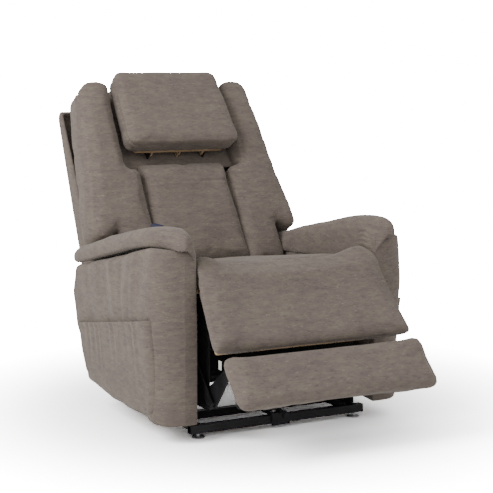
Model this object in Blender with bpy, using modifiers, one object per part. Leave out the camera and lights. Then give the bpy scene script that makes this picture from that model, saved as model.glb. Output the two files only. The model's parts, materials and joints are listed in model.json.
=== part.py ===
"""Power lift recliner chair: lifting base, seat carriage, leg rest, reclining back and headrest.

The chair faces -Y, +X is the sitter's left and +Z is up. Points are given in a design frame whose
origin lies on the floor under the middle of the base's front tube; one root empty then moves the
whole chair so that the origin is the middle of its footprint. Side outlines are (Y, Z) pairs.
"""
import math

import bmesh
import bpy
from mathutils import Matrix, Vector

# ---- driving dimensions, in metres -------------------------------------------------------------
FOOTPRINT_CENTRE_Y = 0.30165
GAP = 0.0003                      # between faces that touch
TUBE = 0.025                      # square steel tube
TUBE_WALL = 0.0015
TUBE_BOTTOM = 0.014
BASE_HALF_WIDTH = 0.305
BASE_LENGTH = 0.60
SIDE_RAIL_X = 0.2745              # middle of the base's side tubes
PLATE = 0.005                     # flat steel links and side plates
PIN_R = 0.006
HOLE_R = 0.0066
ARM_INNER_X = 0.306
ARM_OUTER_X = 0.424
POCKET_OUTER_X = 0.440
SEAT_HALF_WIDTH = 0.296

# lifting linkage
LIFT_PIVOT = (0.1016, 0.2036)     # rear link on the base
LIFT_LINK = 0.3555
LIFT_LINK_DEG = -19.4
FRONT_PIVOT = (0.0606, 0.2422)    # front link on the base
FRONT_PIN = (0.320, 0.180)        # front link on the carriage
LIFT_ROD_EYE = (0.035, 0.062)     # lift actuator on the base
LIFT_HANGER = (0.459, 0.225)      # lift actuator on the carriage

# leg rest linkage
DRIVE_PIVOT = (0.1659, 0.3600)
DRIVE_LINK = 0.3023
DRIVE_LINK_DEG = -46.64           # below the forward horizontal
FOLD_LINK = 0.1726
FOLD_LINK_DEG = 35.53
CROSS_PIVOT = (0.086, 0.305)
CROSS_PIN_ALONG = 0.020           # cross link's pin on the fold link, from the elbow
CROSS_PIN_ASIDE = -0.040
CRANK = 0.080
CRANK_DEG = -102.0
FOOTREST_TOP = (-0.281, 0.300)    # upper front edge of the footrest pad
FOOTREST_LEAN = 31.0
FOOTREST_LENGTH = 0.163
LEG_PAD_TOP = (-0.071, 0.522)     # upper front edge of the leg pad
LEG_PAD_LEAN = 35.65
LEG_PAD_LENGTH = 0.264
PAD_THICKNESS = 0.075
LIP = 0.028                       # front layer of a pad, which laps over the arms

DRIVE_NEAR = 0.2640               # inner faces of the links' layers
FOLD_NEAR = 0.2575
CROSS_NEAR = 0.2745

# back
BACK_PIVOT = (0.560, 0.300)
BACK_FOOT = (0.467, 0.450)        # front surface of the back at its lower end
BACK_LEAN = 30.0
BOARD_DEPTH = 0.138               # back board behind the front surface
BOARD = 0.018
HEADREST_FOOT = (0.622, 0.837)
HEADREST_LEAN = 37.4
HEADREST_LENGTH = 0.316
HEADREST_THICKNESS = 0.070
HEADREST_PIVOT_UP = 0.040
HEADREST_PIVOT_BACK = 0.095


def step(start, length, degrees):
    """Point at a length and an angle from start, in a side view where forward (-Y) is 0 degrees."""
    angle = math.radians(degrees)
    return (start[0] - length * math.cos(angle), start[1] + length * math.sin(angle))


class SlopedFrame:
    """Coordinates of a leaning pad: along its face, and in from its face."""

    def __init__(self, origin, along, inward):
        self.origin = Vector((0.0, origin[0], origin[1]))
        self.along = Vector((0.0, *along)).normalized()
        self.inward = Vector((0.0, *inward)).normalized()

    def at(self, along, inward):
        point = self.origin + self.along * along + self.inward * inward
        return (point.y, point.z)

    def matrix(self, inward):
        """Local x to X, local y up the face, local z out of the face."""
        up = self.along if self.along.z > 0 else -self.along
        out = -self.inward
        axes = Matrix((Vector((1, 0, 0)), up, out)).transposed().to_4x4()
        if axes.determinant() < 0:
            axes = axes @ Matrix.Diagonal((-1, 1, 1, 1))
        return Matrix.Translation(self.origin + self.inward * inward) @ axes


def lean_vectors(lean_degrees):
    angle = math.radians(lean_degrees)
    return (math.sin(angle), math.cos(angle)), (math.cos(angle), -math.sin(angle))


back_up, back_in = lean_vectors(BACK_LEAN)
BACK = SlopedFrame(BACK_FOOT, back_up, back_in)
head_up, head_in = lean_vectors(HEADREST_LEAN)
HEAD = SlopedFrame(HEADREST_FOOT, head_up, head_in)


def hanging_frame(top, lean_degrees):
    """Frame of a pad that hangs from its upper front edge and leans forward at its foot."""
    angle = math.radians(lean_degrees)
    return SlopedFrame(top, (-math.sin(angle), -math.cos(angle)), (math.cos(angle), -math.sin(angle)))


LEG = hanging_frame(LEG_PAD_TOP, LEG_PAD_LEAN)
FOOT = hanging_frame(FOOTREST_TOP, FOOTREST_LEAN)

BACK_PIN = step(LIFT_PIVOT, LIFT_LINK, 180.0 - LIFT_LINK_DEG)
ELBOW = step(DRIVE_PIVOT, DRIVE_LINK, DRIVE_LINK_DEG)
FOLD_PIN = step(ELBOW, FOLD_LINK, FOLD_LINK_DEG)
CROSS_PIN = step(step(ELBOW, CROSS_PIN_ALONG, FOLD_LINK_DEG), CROSS_PIN_ASIDE, FOLD_LINK_DEG + 90.0)
CRANK_PIN = step(DRIVE_PIVOT, CRANK, CRANK_DEG)
LEG_PIVOT = LEG.at(0.0, PAD_THICKNESS + 0.006)
HEAD_PIVOT = HEAD.at(HEADREST_PIVOT_UP, HEADREST_PIVOT_BACK)
RECLINE_PIN = (BACK_PIVOT[0], BACK_PIVOT[1] - 0.080)
HANDSET_X = 0.279
HANDSET_Y = 0.275

# name: parent, joint axis point (Y, Z)
BODIES = {
    "base": (None, (0.0, 0.0)),
    "rear_lift": ("base", LIFT_PIVOT),
    "front_lift": ("base", FRONT_PIVOT),
    "carriage": ("rear_lift", BACK_PIN),
    "lift_housing": ("carriage", LIFT_HANGER),
    "lift_rod": ("lift_housing", LIFT_HANGER),
    "leg_drive": ("carriage", DRIVE_PIVOT),
    "leg_fold": ("leg_drive", ELBOW),
    "leg_cross": ("carriage", CROSS_PIVOT),
    "footrest": ("leg_fold", FOLD_PIN),
    "leg_pad_body": ("carriage", LEG_PIVOT),
    "leg_rod": ("carriage", CRANK_PIN),
    "back": ("carriage", BACK_PIVOT),
    "recline_rod": ("carriage", RECLINE_PIN),
    "headrest": ("back", HEAD_PIVOT),
    "headrest_rod": ("back", HEAD_PIVOT),
    "handset": ("carriage", (HANDSET_Y, 0.51)),
}

COLOURS = {
    "fabric": ((0.235, 0.195, 0.165), 0.95, 0.0),
    "black_steel": ((0.018, 0.018, 0.020), 0.40, 0.6),
    "bright_steel": ((0.60, 0.60, 0.61), 0.28, 1.0),
    "plywood": ((0.55, 0.40, 0.25), 0.70, 0.0),
    "black_plastic": ((0.020, 0.020, 0.022), 0.45, 0.0),
    "blue_plastic": ((0.035, 0.045, 0.20), 0.40, 0.0),
}


# ---- scene, materials and bodies ---------------------------------------------------------------
def clear_scene():
    for obj in list(bpy.data.objects):
        bpy.data.objects.remove(obj, do_unlink=True)


def make_collection(name):
    collection = bpy.data.collections.new(name)
    bpy.context.scene.collection.children.link(collection)
    return collection


def make_material(name, colour, roughness, metallic):
    material = bpy.data.materials.new(name)
    material.use_nodes = True
    shader = material.node_tree.nodes["Principled BSDF"]
    shader.inputs["Base Color"].default_value = (*colour, 1.0)
    shader.inputs["Roughness"].default_value = roughness
    shader.inputs["Metallic"].default_value = metallic
    return material


def make_bodies():
    """One empty on each body's joint axis, under a root empty that centres the footprint."""
    root = bpy.data.objects.new("chair_origin", None)
    root.location = (0.0, -FOOTPRINT_CENTRE_Y, 0.0)
    parts.objects.link(root)
    empties = {}
    for name, (parent, (y, z)) in BODIES.items():
        empty = bpy.data.objects.new("axis_" + name, None)
        parts.objects.link(empty)
        empty.parent = empties[parent] if parent else root
        parent_y, parent_z = BODIES[parent][1] if parent else (0.0, 0.0)
        empty.location = (0.0, y - parent_y, z - parent_z)
        empties[name] = empty
    return empties


def install(mesh, name, body, colour, matrix=Matrix(), cutter=False):
    """Put a mesh, given in design coordinates, on a body; its origin is on the body's joint axis."""
    y, z = BODIES[body][1]
    mesh.transform(Matrix.Translation((0.0, -y, -z)) @ matrix)
    if matrix.determinant() < 0:
        mesh.flip_normals()
    mesh.name = name
    obj = bpy.data.objects.new(name, mesh)
    obj.parent = axes[body]
    if cutter:
        cutters.objects.link(obj)
        obj.hide_render = True
        obj.display_type = "WIRE"
        return obj
    parts.objects.link(obj)
    mesh.materials.clear()
    mesh.materials.append(make_material(name, *COLOURS[colour]))
    return obj


# ---- shapes ------------------------------------------------------------------------------------
def box_mesh(low, high):
    mesh = bpy.data.meshes.new("box")
    bm = bmesh.new()
    bmesh.ops.create_cube(bm, size=1.0)
    size = [h - l for l, h in zip(low, high)]
    middle = [(h + l) / 2 for l, h in zip(low, high)]
    bmesh.ops.transform(bm, matrix=Matrix.LocRotScale(middle, None, size), verts=bm.verts)
    bm.to_mesh(mesh)
    bm.free()
    return mesh


def rod_mesh(start, end, radius, sides=16):
    start, end = Vector(start), Vector(end)
    mesh = bpy.data.meshes.new("rod")
    bm = bmesh.new()
    bmesh.ops.create_cone(bm, cap_ends=True, segments=sides, radius1=radius, radius2=radius,
                          depth=(end - start).length)
    turn = (end - start).to_track_quat("Z", "Y").to_matrix().to_4x4()
    bmesh.ops.transform(bm, matrix=Matrix.Translation((start + end) / 2) @ turn, verts=bm.verts)
    bm.to_mesh(mesh)
    bm.free()
    return mesh


def circle_points(centre, radius, sides=12):
    turn = 2 * math.pi / sides
    return [(centre[0] + radius * math.cos(i * turn), centre[1] + radius * math.sin(i * turn))
            for i in range(sides)]


def flat_mesh(outlines, thickness):
    """A filled flat outline with holes, extruded to a thickness about its own plane."""
    curve = bpy.data.curves.new("outline", "CURVE")
    curve.dimensions = "2D"
    curve.fill_mode = "BOTH"
    curve.extrude = thickness / 2
    for outline in outlines:
        spline = curve.splines.new("POLY")
        spline.points.add(len(outline) - 1)
        for point, (x, y) in zip(spline.points, outline):
            point.co = (x, y, 0.0, 1.0)
        spline.use_cyclic_u = True
    holder = bpy.data.objects.new("outline", curve)
    parts.objects.link(holder)
    bpy.context.view_layer.update()
    evaluated = holder.evaluated_get(bpy.context.evaluated_depsgraph_get())
    mesh = bpy.data.meshes.new_from_object(evaluated)
    bpy.data.objects.remove(holder, do_unlink=True)
    bpy.data.curves.remove(curve)
    bm = bmesh.new()
    bm.from_mesh(mesh)
    bmesh.ops.remove_doubles(bm, verts=bm.verts, dist=0.00005)
    bmesh.ops.recalc_face_normals(bm, faces=bm.faces)
    bm.to_mesh(mesh)
    bm.free()
    return mesh


SIDE_VIEW = Matrix(((0, 0, 1, 0), (1, 0, 0, 0), (0, 1, 0, 0), (0, 0, 0, 1)))


def side_matrix(x_low, x_high):
    return Matrix.Translation(((x_low + x_high) / 2, 0, 0)) @ SIDE_VIEW


def side_plate(name, body, colour, outline, x_low, x_high, holes=(), cutter=False):
    """A plate parallel to the chair's side: (Y, Z) outline, from x_low to x_high."""
    mesh = flat_mesh([outline, *[circle_points(c, r) for c, r in holes]], abs(x_high - x_low))
    return install(mesh, name, body, colour, side_matrix(x_low, x_high), cutter)


def box(name, body, colour, low, high, cutter=False):
    return install(box_mesh(low, high), name, body, colour, cutter=cutter)


def rod(name, body, colour, start, end, radius, sides=16, cutter=False):
    return install(rod_mesh(start, end, radius, sides), name, body, colour, cutter=cutter)


def cross_rod(name, body, centre, x_low, x_high, radius, cutter=True, colour="black_steel"):
    """A round bar across the chair through a (Y, Z) point."""
    sides = 16 if radius > 0.010 else 12
    return rod(name, body, colour, (x_low, *centre), (x_high, *centre), radius, sides, cutter)


def boolean(obj, operation, *shapes):
    for shape in shapes:
        modifier = obj.modifiers.new(operation.lower(), "BOOLEAN")
        modifier.operation = operation
        modifier.solver = "EXACT"
        modifier.object = shape
    return obj


def bevel(obj, width, segments=2, angle=35.0):
    modifier = obj.modifiers.new("bevel", "BEVEL")
    modifier.width = width
    modifier.segments = segments
    modifier.limit_method = "ANGLE"
    modifier.angle_limit = math.radians(angle)
    modifier.harden_normals = False
    return obj


def link_outline(start, end, radius, sides=6):
    """A flat link with round ends."""
    across = math.atan2(end[1] - start[1], end[0] - start[0])
    points = []
    for centre, first in ((end, across - math.pi / 2), (start, across + math.pi / 2)):
        for i in range(sides + 1):
            angle = first + math.pi * i / sides
            points.append((centre[0] + radius * math.cos(angle), centre[1] + radius * math.sin(angle)))
    return points


def rounded_outline(corners, radius, sides=2):
    """A polygon with each corner cut back and rounded by an arc-like curve."""
    points = []
    count = len(corners)
    for i, corner in enumerate(corners):
        here = Vector(corner)
        before = Vector(corners[i - 1]) - here
        after = Vector(corners[(i + 1) % count]) - here
        reach = min(radius, before.length * 0.45, after.length * 0.45)
        start = here + before.normalized() * reach
        end = here + after.normalized() * reach
        for k in range(sides + 1):
            t = k / sides
            point = start * (1 - t) ** 2 + here * 2 * t * (1 - t) + end * t * t
            points.append((point.x, point.y))
    return points


def both_sides(make):
    """Make a part on the sitter's left (+X) and its mirror image on the right."""
    for side, sign in (("left", 1), ("right", -1)):
        make(side, sign)


def span(sign, near, far):
    """X range of a plate from |X| near to |X| far, on the side given by sign."""
    return tuple(sorted((sign * near, sign * far)))


def square_tube(name, body, low, high, axis):
    """A hollow square tube along an axis, open at both ends."""
    obj = box(name, body, "black_steel", low, high)
    inner_low = [v + (-0.01 if i == axis else TUBE_WALL) for i, v in enumerate(low)]
    inner_high = [v + (0.01 if i == axis else -TUBE_WALL) for i, v in enumerate(high)]
    return boolean(obj, "DIFFERENCE", box(name + "_bore", body, None, inner_low, inner_high, True))


# ---- base --------------------------------------------------------------------------------------
def make_base():
    z_low, z_high = TUBE_BOTTOM, TUBE_BOTTOM + TUBE
    half = TUBE / 2
    for name, y in (("base_front_tube", 0.0), ("base_rear_tube", BASE_LENGTH)):
        square_tube(name, "base", (-BASE_HALF_WIDTH, y - half, z_low),
                    (BASE_HALF_WIDTH, y + half, z_high), 0)
    inner = SIDE_RAIL_X - half - GAP
    square_tube("base_mid_tube", "base", (-inner, 0.16 - half, z_low), (inner, 0.16 + half, z_high), 0)
    both_sides(make_side_rail)
    for row, y in (("front", 0.0), ("rear", BASE_LENGTH)):
        for side, sign in (("left", 1), ("right", -1)):
            make_foot("foot_%s_%s" % (row, side), sign * (BASE_HALF_WIDTH - 0.030), y)
    make_lift_bracket()
    make_power_supply()


def make_side_rail(side, sign):
    """A side tube with the ear that holds both lift links."""
    half = TUBE / 2
    low_x, high_x = span(sign, SIDE_RAIL_X - half, SIDE_RAIL_X + half)
    rail = square_tube("base_side_rail_" + side, "base", (low_x, half + GAP, TUBE_BOTTOM),
                       (high_x, BASE_LENGTH - half - GAP, TUBE_BOTTOM + TUBE), 1)
    ear = rounded_outline([(0.020, 0.016), (0.190, 0.016), (0.122, 0.215), (0.075, 0.262),
                           (0.040, 0.250)], 0.025)
    ear_x = span(sign, SIDE_RAIL_X + half - 0.0005, SIDE_RAIL_X + half + 0.0045)
    ear_plate = side_plate("rail_ear_" + side, "base", None, ear, *ear_x, cutter=True)
    pins = [cross_rod("rail_pin_%s_%d" % (side, i), "base", point,
                      *span(sign, SIDE_RAIL_X + half + 0.003, SIDE_RAIL_X + half + 0.0118), PIN_R)
            for i, point in enumerate((LIFT_PIVOT, FRONT_PIVOT))]
    boolean(rail, "UNION", ear_plate, *pins)


def make_foot(name, x, y):
    """A turned levelling glide: a wide pad on a threaded stud."""
    profile = [(0.0, 0.0137), (0.005, 0.0137), (0.005, 0.0060), (0.019, 0.0052), (0.021, 0.0032),
               (0.021, 0.0), (0.0, 0.0)]
    mesh = bpy.data.meshes.new(name)
    bm = bmesh.new()
    verts = [bm.verts.new((r, 0.0, z)) for r, z in profile]
    for first, second in zip(verts, verts[1:]):
        bm.edges.new((first, second))
    bm.to_mesh(mesh)
    bm.free()
    foot = install(mesh, name, "base", "bright_steel")
    foot.location = (x, y, 0.0)
    screw = foot.modifiers.new("turn", "SCREW")
    screw.steps = 16
    screw.render_steps = 16
    screw.use_merge_vertices = True
    screw.merge_threshold = 0.00005
    return foot


def make_lift_bracket():
    """Clevis over the front tube that holds the lift actuator's rod end."""
    top = TUBE_BOTTOM + TUBE + GAP
    front = -TUBE / 2 - GAP
    bracket = box("lift_actuator_bracket", "base", "black_steel",
                  (-0.030, front - 0.006, 0.010), (0.032, front, top + 0.005))
    shapes = [box("bracket_top", "base", None, (-0.030, front - 0.006, top), (0.032, 0.052, top + 0.005),
                  True)]
    for i, x in enumerate((-0.019, 0.014)):
        shapes.append(side_plate("bracket_ear_%d" % i, "base", None,
                                 rounded_outline([(0.012, top + 0.002), (0.052, top + 0.002),
                                                  (0.052, 0.078), (0.018, 0.078)], 0.012),
                                 x, x + 0.005, cutter=True))
    shapes.append(cross_rod("bracket_pin", "base", LIFT_ROD_EYE, -0.022, 0.022, 0.005))
    shapes.append(rod("bracket_bolt", "base", None, (0.014, front - 0.011, 0.036),
                      (0.014, front - 0.003, 0.036), 0.008, sides=6, cutter=True))
    boolean(bracket, "UNION", *shapes)
    boolean(bracket, "DIFFERENCE", box("bracket_gap", "base", None, (-0.0125, 0.0130, 0.030),
                                       (0.0125, 0.060, top + 0.006), True))


def make_power_supply():
    """Transformer box on the rear tube, with a recessed mains inlet in its rear face."""
    z_low = TUBE_BOTTOM + TUBE + GAP
    supply = box("power_supply", "base", "black_plastic", (-0.085, 0.545, z_low),
                 (0.085, 0.612, z_low + 0.042))
    bevel(supply, 0.004)
    inlet = box("inlet_recess", "base", None, (-0.011, 0.600, z_low + 0.014),
                (0.011, 0.620, z_low + 0.028), True)
    boolean(supply, "DIFFERENCE", inlet)


# ---- lifting linkage ---------------------------------------------------------------------------
LINK_NEAR = SIDE_RAIL_X + TUBE / 2 + 0.006      # inner face of the lift links
SIDE_PLATE_NEAR = LINK_NEAR + PLATE + 0.0015    # inner face of the carriage side plates


def make_lift_links():
    cross_at = step(LIFT_PIVOT, 0.300, 180.0 - LIFT_LINK_DEG)
    frame = rod("rear_lift_frame", "rear_lift", "black_steel",
                (-LINK_NEAR - 0.001, *cross_at), (LINK_NEAR + 0.001, *cross_at), 0.0125)
    plates = []
    for side, sign in (("left", 1), ("right", -1)):
        outline = link_outline(LIFT_PIVOT, BACK_PIN, 0.0125)
        holes = [(LIFT_PIVOT, HOLE_R), (BACK_PIN, HOLE_R)]
        x_low, x_high = span(sign, LINK_NEAR, LINK_NEAR + PLATE)
        plates.append(side_plate("rear_link_" + side, "rear_lift", None, outline, x_low, x_high,
                                 holes, cutter=True))
        front_holes = [(FRONT_PIVOT, HOLE_R), (FRONT_PIN, PIN_R + 0.0030)]
        side_plate("front_lift_link_" + side, "front_lift", "black_steel",
                   link_outline(FRONT_PIVOT, FRONT_PIN, 0.0135), x_low, x_high, front_holes)
    boolean(frame, "UNION", *plates)


def along_actuator(distance):
    """Point on the lift actuator's axis, from its hanger towards the rod end."""
    start, end = Vector(LIFT_HANGER), Vector(LIFT_ROD_EYE)
    return start + (end - start).normalized() * distance


def actuator_points(low, high, x=0.0):
    return [(x, *along_actuator(d)) for d in (low, high)]


def make_lift_actuator():
    housing = rod("lift_actuator_housing", "lift_housing", "black_plastic",
                  *actuator_points(0.010, 0.300), 0.021, sides=16)
    slope = math.atan2(LIFT_HANGER[1] - LIFT_ROD_EYE[1], LIFT_HANGER[0] - LIFT_ROD_EYE[0])
    turn = Matrix.Translation((0, *LIFT_HANGER)) @ Matrix.Rotation(slope, 4, "X")
    motor = box_mesh((-0.024, -0.150, 0.0), (0.024, -0.060, 0.062))
    motor_block = install(motor, "lift_motor", "lift_housing", None, turn, cutter=True)
    eye = cross_rod("lift_eye", "lift_housing", LIFT_HANGER, -0.015, 0.015, 0.016)
    bore = rod("lift_bore", "lift_housing", None, *actuator_points(0.105, 0.310), 0.0108, cutter=True)
    pin_hole = cross_rod("lift_eye_hole", "lift_housing", LIFT_HANGER, -0.03, 0.03, HOLE_R)
    boolean(housing, "UNION", motor_block, eye)
    boolean(housing, "DIFFERENCE", bore, pin_hole)
    rod_part = rod("lift_actuator_rod", "lift_rod", "bright_steel",
                   *actuator_points(0.125, 0.438), 0.0100)
    length = (Vector(LIFT_HANGER) - Vector(LIFT_ROD_EYE)).length
    near, far = along_actuator(length - 0.0095), along_actuator(length + 0.0070)
    tip = side_plate("lift_rod_tip", "lift_rod", None, link_outline(near, far, 0.0135),
                     -0.010, 0.010, cutter=True)
    slot = side_plate("lift_rod_slot", "lift_rod", None, link_outline(near, far, 0.0066),
                      -0.020, 0.020, cutter=True)
    boolean(rod_part, "UNION", tip)
    boolean(rod_part, "DIFFERENCE", slot)


# ---- seat carriage -----------------------------------------------------------------------------
DECK_FRONT = (0.012, 0.446)       # upper face of the seat deck
DECK_REAR = (0.420, 0.392)
DECK_THICKNESS = 0.012


def make_carriage():
    both_sides(make_side_plate)
    box("carriage_front_bar", "carriage", "black_steel", (-0.2995, 0.014, 0.408),
        (0.2995, 0.039, 0.428))
    make_rear_bar()
    make_seat()
    both_sides(make_arm)
    make_control_box()
    make_hand_control()
    make_leg_actuator()
    make_recline_actuator()


def make_side_plate(side, sign):
    """Steel side plate: seat frame, lift pins, leg rest pivots and back pivot in one."""
    outline = rounded_outline([(-0.022, 0.492), (-0.022, 0.450), (0.060, 0.262), (0.300, 0.150),
                               (0.405, 0.070), (0.455, 0.066), (0.585, 0.270), (0.588, 0.318),
                               (0.540, 0.345), (0.030, 0.492)], 0.030)
    x_low, x_high = span(sign, SIDE_PLATE_NEAR, ARM_INNER_X - GAP)
    plate = side_plate("carriage_side_plate_" + side, "carriage", "black_steel", outline,
                       x_low, x_high, [(LEG_PIVOT, 0.0045), (BACK_PIVOT, HOLE_R)])
    pins = [cross_rod("plate_pin_%s_%d" % (side, i), "carriage", point,
                      *span(sign, LINK_NEAR + 0.0005, ARM_INNER_X - 0.002), PIN_R)
            for i, point in enumerate((BACK_PIN, FRONT_PIN))]
    pins += [cross_rod("plate_stud_%s_%d" % (side, i), "carriage", point,
                       *span(sign, reach, ARM_INNER_X - 0.002), 0.007)
             for i, (point, reach) in enumerate(((DRIVE_PIVOT, 0.2590), (CROSS_PIVOT, CROSS_NEAR - 0.001)))]
    boolean(plate, "UNION", *pins)


def make_rear_bar():
    """Cross bar behind the deck with the two hanger plates of the lift actuator."""
    bar = box("carriage_rear_bar", "carriage", "black_steel", (-0.2995, 0.425, 0.338),
              (0.2995, 0.450, 0.358))
    shapes = [cross_rod("hanger_pin", "carriage", LIFT_HANGER, -0.032, 0.032, PIN_R)]
    for i, x in enumerate((-0.035, 0.030)):
        outline = rounded_outline([(0.444, 0.210), (0.474, 0.210), (0.470, 0.300), (0.449, 0.345),
                                   (0.428, 0.345), (0.430, 0.300)], 0.010)
        shapes.append(side_plate("hanger_%d" % i, "carriage", None, outline, x, x + 0.005,
                                 cutter=True))
    boolean(bar, "UNION", *shapes)


def deck_line(thickness_low, thickness_high):
    """Side outline of a layer on the sloping seat deck."""
    (y0, z0), (y1, z1) = DECK_FRONT, DECK_REAR
    return [(y0, z0 + thickness_low), (y1, z1 + thickness_low),
            (y1, z1 + thickness_high), (y0, z0 + thickness_high)]


def make_seat():
    side_plate("seat_deck", "carriage", "plywood", deck_line(-DECK_THICKNESS, 0.0),
               -SEAT_HALF_WIDTH, SEAT_HALF_WIDTH)
    cushion = side_plate("seat_cushion", "carriage", "fabric", deck_line(GAP, 0.066),
                         -SEAT_HALF_WIDTH + 0.002, SEAT_HALF_WIDTH - 0.002)
    bevel(cushion, 0.018, 3)


def make_arm(side, sign):
    panel = rounded_outline([(-0.060, 0.057), (0.050, 0.066), (0.300, 0.069), (0.494, 0.094),
                             (0.575, 0.240), (0.592, 0.376), (0.560, 0.455), (0.272, 0.522),
                             (0.044, 0.576), (-0.060, 0.576)], 0.060)
    bevel(side_plate("side_panel_" + side, "carriage", "fabric", panel,
                     *span(sign, ARM_INNER_X, ARM_OUTER_X)), 0.016)
    lift = 0.004
    pad = rounded_outline([(-0.096, 0.575), (-0.070, 0.574 + lift), (0.044, 0.576 + lift),
                           (0.272, 0.522 + lift), (0.560, 0.455 + lift), (0.604, 0.462),
                           (0.606, 0.524), (0.498, 0.548), (0.255, 0.597), (0.133, 0.626),
                           (0.044, 0.638), (-0.060, 0.634), (-0.096, 0.606)], 0.022)
    bevel(side_plate("arm_pad_" + side, "carriage", "fabric", pad,
                     *span(sign, 0.2990, 0.4395)), 0.017)
    make_pocket(side, sign)


def make_pocket(side, sign):
    """A magazine pouch on the outside of the arm, open along its sloping top."""
    outline = rounded_outline([(-0.018, 0.372), (0.010, 0.110), (0.300, 0.092), (0.470, 0.112),
                               (0.549, 0.277)], 0.030)
    pocket = side_plate("side_pocket_" + side, "carriage", "fabric", outline,
                        *span(sign, ARM_OUTER_X + GAP, POCKET_OUTER_X))
    inside = rounded_outline([(-0.012, 0.440), (0.016, 0.116), (0.300, 0.098), (0.466, 0.118),
                              (0.543, 0.330)], 0.030)
    cavity = side_plate("pocket_space_" + side, "carriage", None, inside,
                        *span(sign, ARM_OUTER_X + 0.0020, POCKET_OUTER_X - 0.0025), cutter=True)
    boolean(pocket, "DIFFERENCE", cavity)


def make_control_box():
    control = box("control_box", "carriage", "black_plastic", (0.150, 0.300, 0.345),
                  (0.250, 0.380, 0.384))
    bevel(control, 0.004)


def make_hand_control():
    """Wired handset in a sleeve on the inside of the right arm, with four push buttons."""
    x_low, x_high = -HANDSET_X - 0.0105, -HANDSET_X + 0.0105
    y_low, y_high = HANDSET_Y - 0.0290, HANDSET_Y + 0.0290
    wall = 0.0025
    slack = 0.0010
    sleeve = box("hand_control_holder", "carriage", "fabric",
                 (x_low - wall - slack, y_low - wall - slack, 0.490),
                 (x_high + wall + slack, y_high + wall + slack, 0.556))
    inside = box("holder_space", "carriage", None, (x_low - slack, y_low - slack, 0.4935),
                 (x_high + slack, y_high + slack, 0.58), True)
    boolean(sleeve, "DIFFERENCE", inside)
    handset = bevel(box("hand_control", "handset", "blue_plastic", (x_low, y_low, 0.494),
                        (x_high, y_high, 0.617)), 0.004)
    button_x = x_high
    recesses = []
    for i, (dy, z) in enumerate(((-0.011, 0.599), (0.011, 0.599), (-0.011, 0.573), (0.011, 0.573))):
        centre = (HANDSET_Y + dy, z)
        recesses.append(cross_rod("button_recess_%d" % i, "handset", centre, button_x - 0.004,
                                  button_x + 0.004, 0.0078))
        cross_rod("hand_control_button_%d" % (i + 1), "handset", centre, button_x - 0.0020,
                  button_x + 0.0018, 0.0070, cutter=False, colour="black_plastic")
    boolean(handset, "DIFFERENCE", *recesses)


# ---- actuators of the leg rest and the back ----------------------------------------------------
LEG_ROD_Z = 0.292
LEG_ROD_X = 0.1055
RECLINE_ROD_Z = 0.2275
RECLINE_ROD_X = -0.1055


def make_housing(name, x, z, y_low, y_high, bore, motor_low, motor_high):
    """A fixed actuator: round tube, motor block under the rear bar, and the rod's bore."""
    housing = rod(name, "carriage", "black_plastic", (x, y_low, z), (x, y_high, z), 0.020, sides=16)
    block = box(name + "_motor", "carriage", None, motor_low, motor_high, True)
    hole = rod(name + "_bore", "carriage", None, (x, bore[0], z), (x, bore[1], z), 0.0098, cutter=True)
    boolean(housing, "UNION", block)
    boolean(housing, "DIFFERENCE", hole)


def slotted_rod(name, body, x, z, y_end, y_in, pin_y, slot_half, slot_reach):
    """A rod whose flat tip holds a tall slot for a crank pin."""
    part = rod(name, body, "bright_steel", (x, y_end, z), (x, y_in, z), 0.0090)
    reach = slot_half + 0.011
    corners = [(pin_y - reach, z - slot_reach - 0.007), (pin_y + reach, z - slot_reach - 0.007),
               (pin_y + reach, z + slot_reach + 0.007), (pin_y - reach, z + slot_reach + 0.007)]
    tip = side_plate(name + "_tip", body, None, rounded_outline(corners, 0.008), x - 0.004, x + 0.004,
                     cutter=True)
    inner = [(pin_y - slot_half, z - slot_reach), (pin_y + slot_half, z - slot_reach),
             (pin_y + slot_half, z + slot_reach), (pin_y - slot_half, z + slot_reach)]
    slot = side_plate(name + "_slot", body, None, rounded_outline(inner, 0.005), x - 0.02, x + 0.02,
                      cutter=True)
    boolean(part, "UNION", tip)
    boolean(part, "DIFFERENCE", slot)


def make_leg_actuator():
    make_housing("legrest_actuator_housing", LEG_ROD_X, LEG_ROD_Z, 0.262, 0.520, (0.250, 0.500),
                 (LEG_ROD_X - 0.030, 0.410, LEG_ROD_Z - 0.045), (LEG_ROD_X + 0.030, 0.500, 0.338 - GAP))
    slotted_rod("legrest_actuator_rod", "leg_rod", LEG_ROD_X, LEG_ROD_Z, CRANK_PIN[0] + 0.0185, 0.440,
                CRANK_PIN[0], 0.0100, 0.0195)


def make_recline_actuator():
    make_housing("recline_actuator_housing", RECLINE_ROD_X, RECLINE_ROD_Z, 0.200, 0.452,
                 (0.225, 0.470), (RECLINE_ROD_X - 0.030, 0.390, RECLINE_ROD_Z - 0.030),
                 (RECLINE_ROD_X + 0.030, 0.450, 0.338 - GAP))
    slotted_rod("recline_actuator_rod", "recline_rod", RECLINE_ROD_X, RECLINE_ROD_Z,
                RECLINE_PIN[0] - 0.0175, 0.300, RECLINE_PIN[0], 0.0085, 0.0170)


# ---- leg rest ----------------------------------------------------------------------------------
def make_leg_rest():
    make_drive_frame()
    both_sides(make_fold_and_cross_links)
    make_footrest()
    make_leg_pad()


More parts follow.
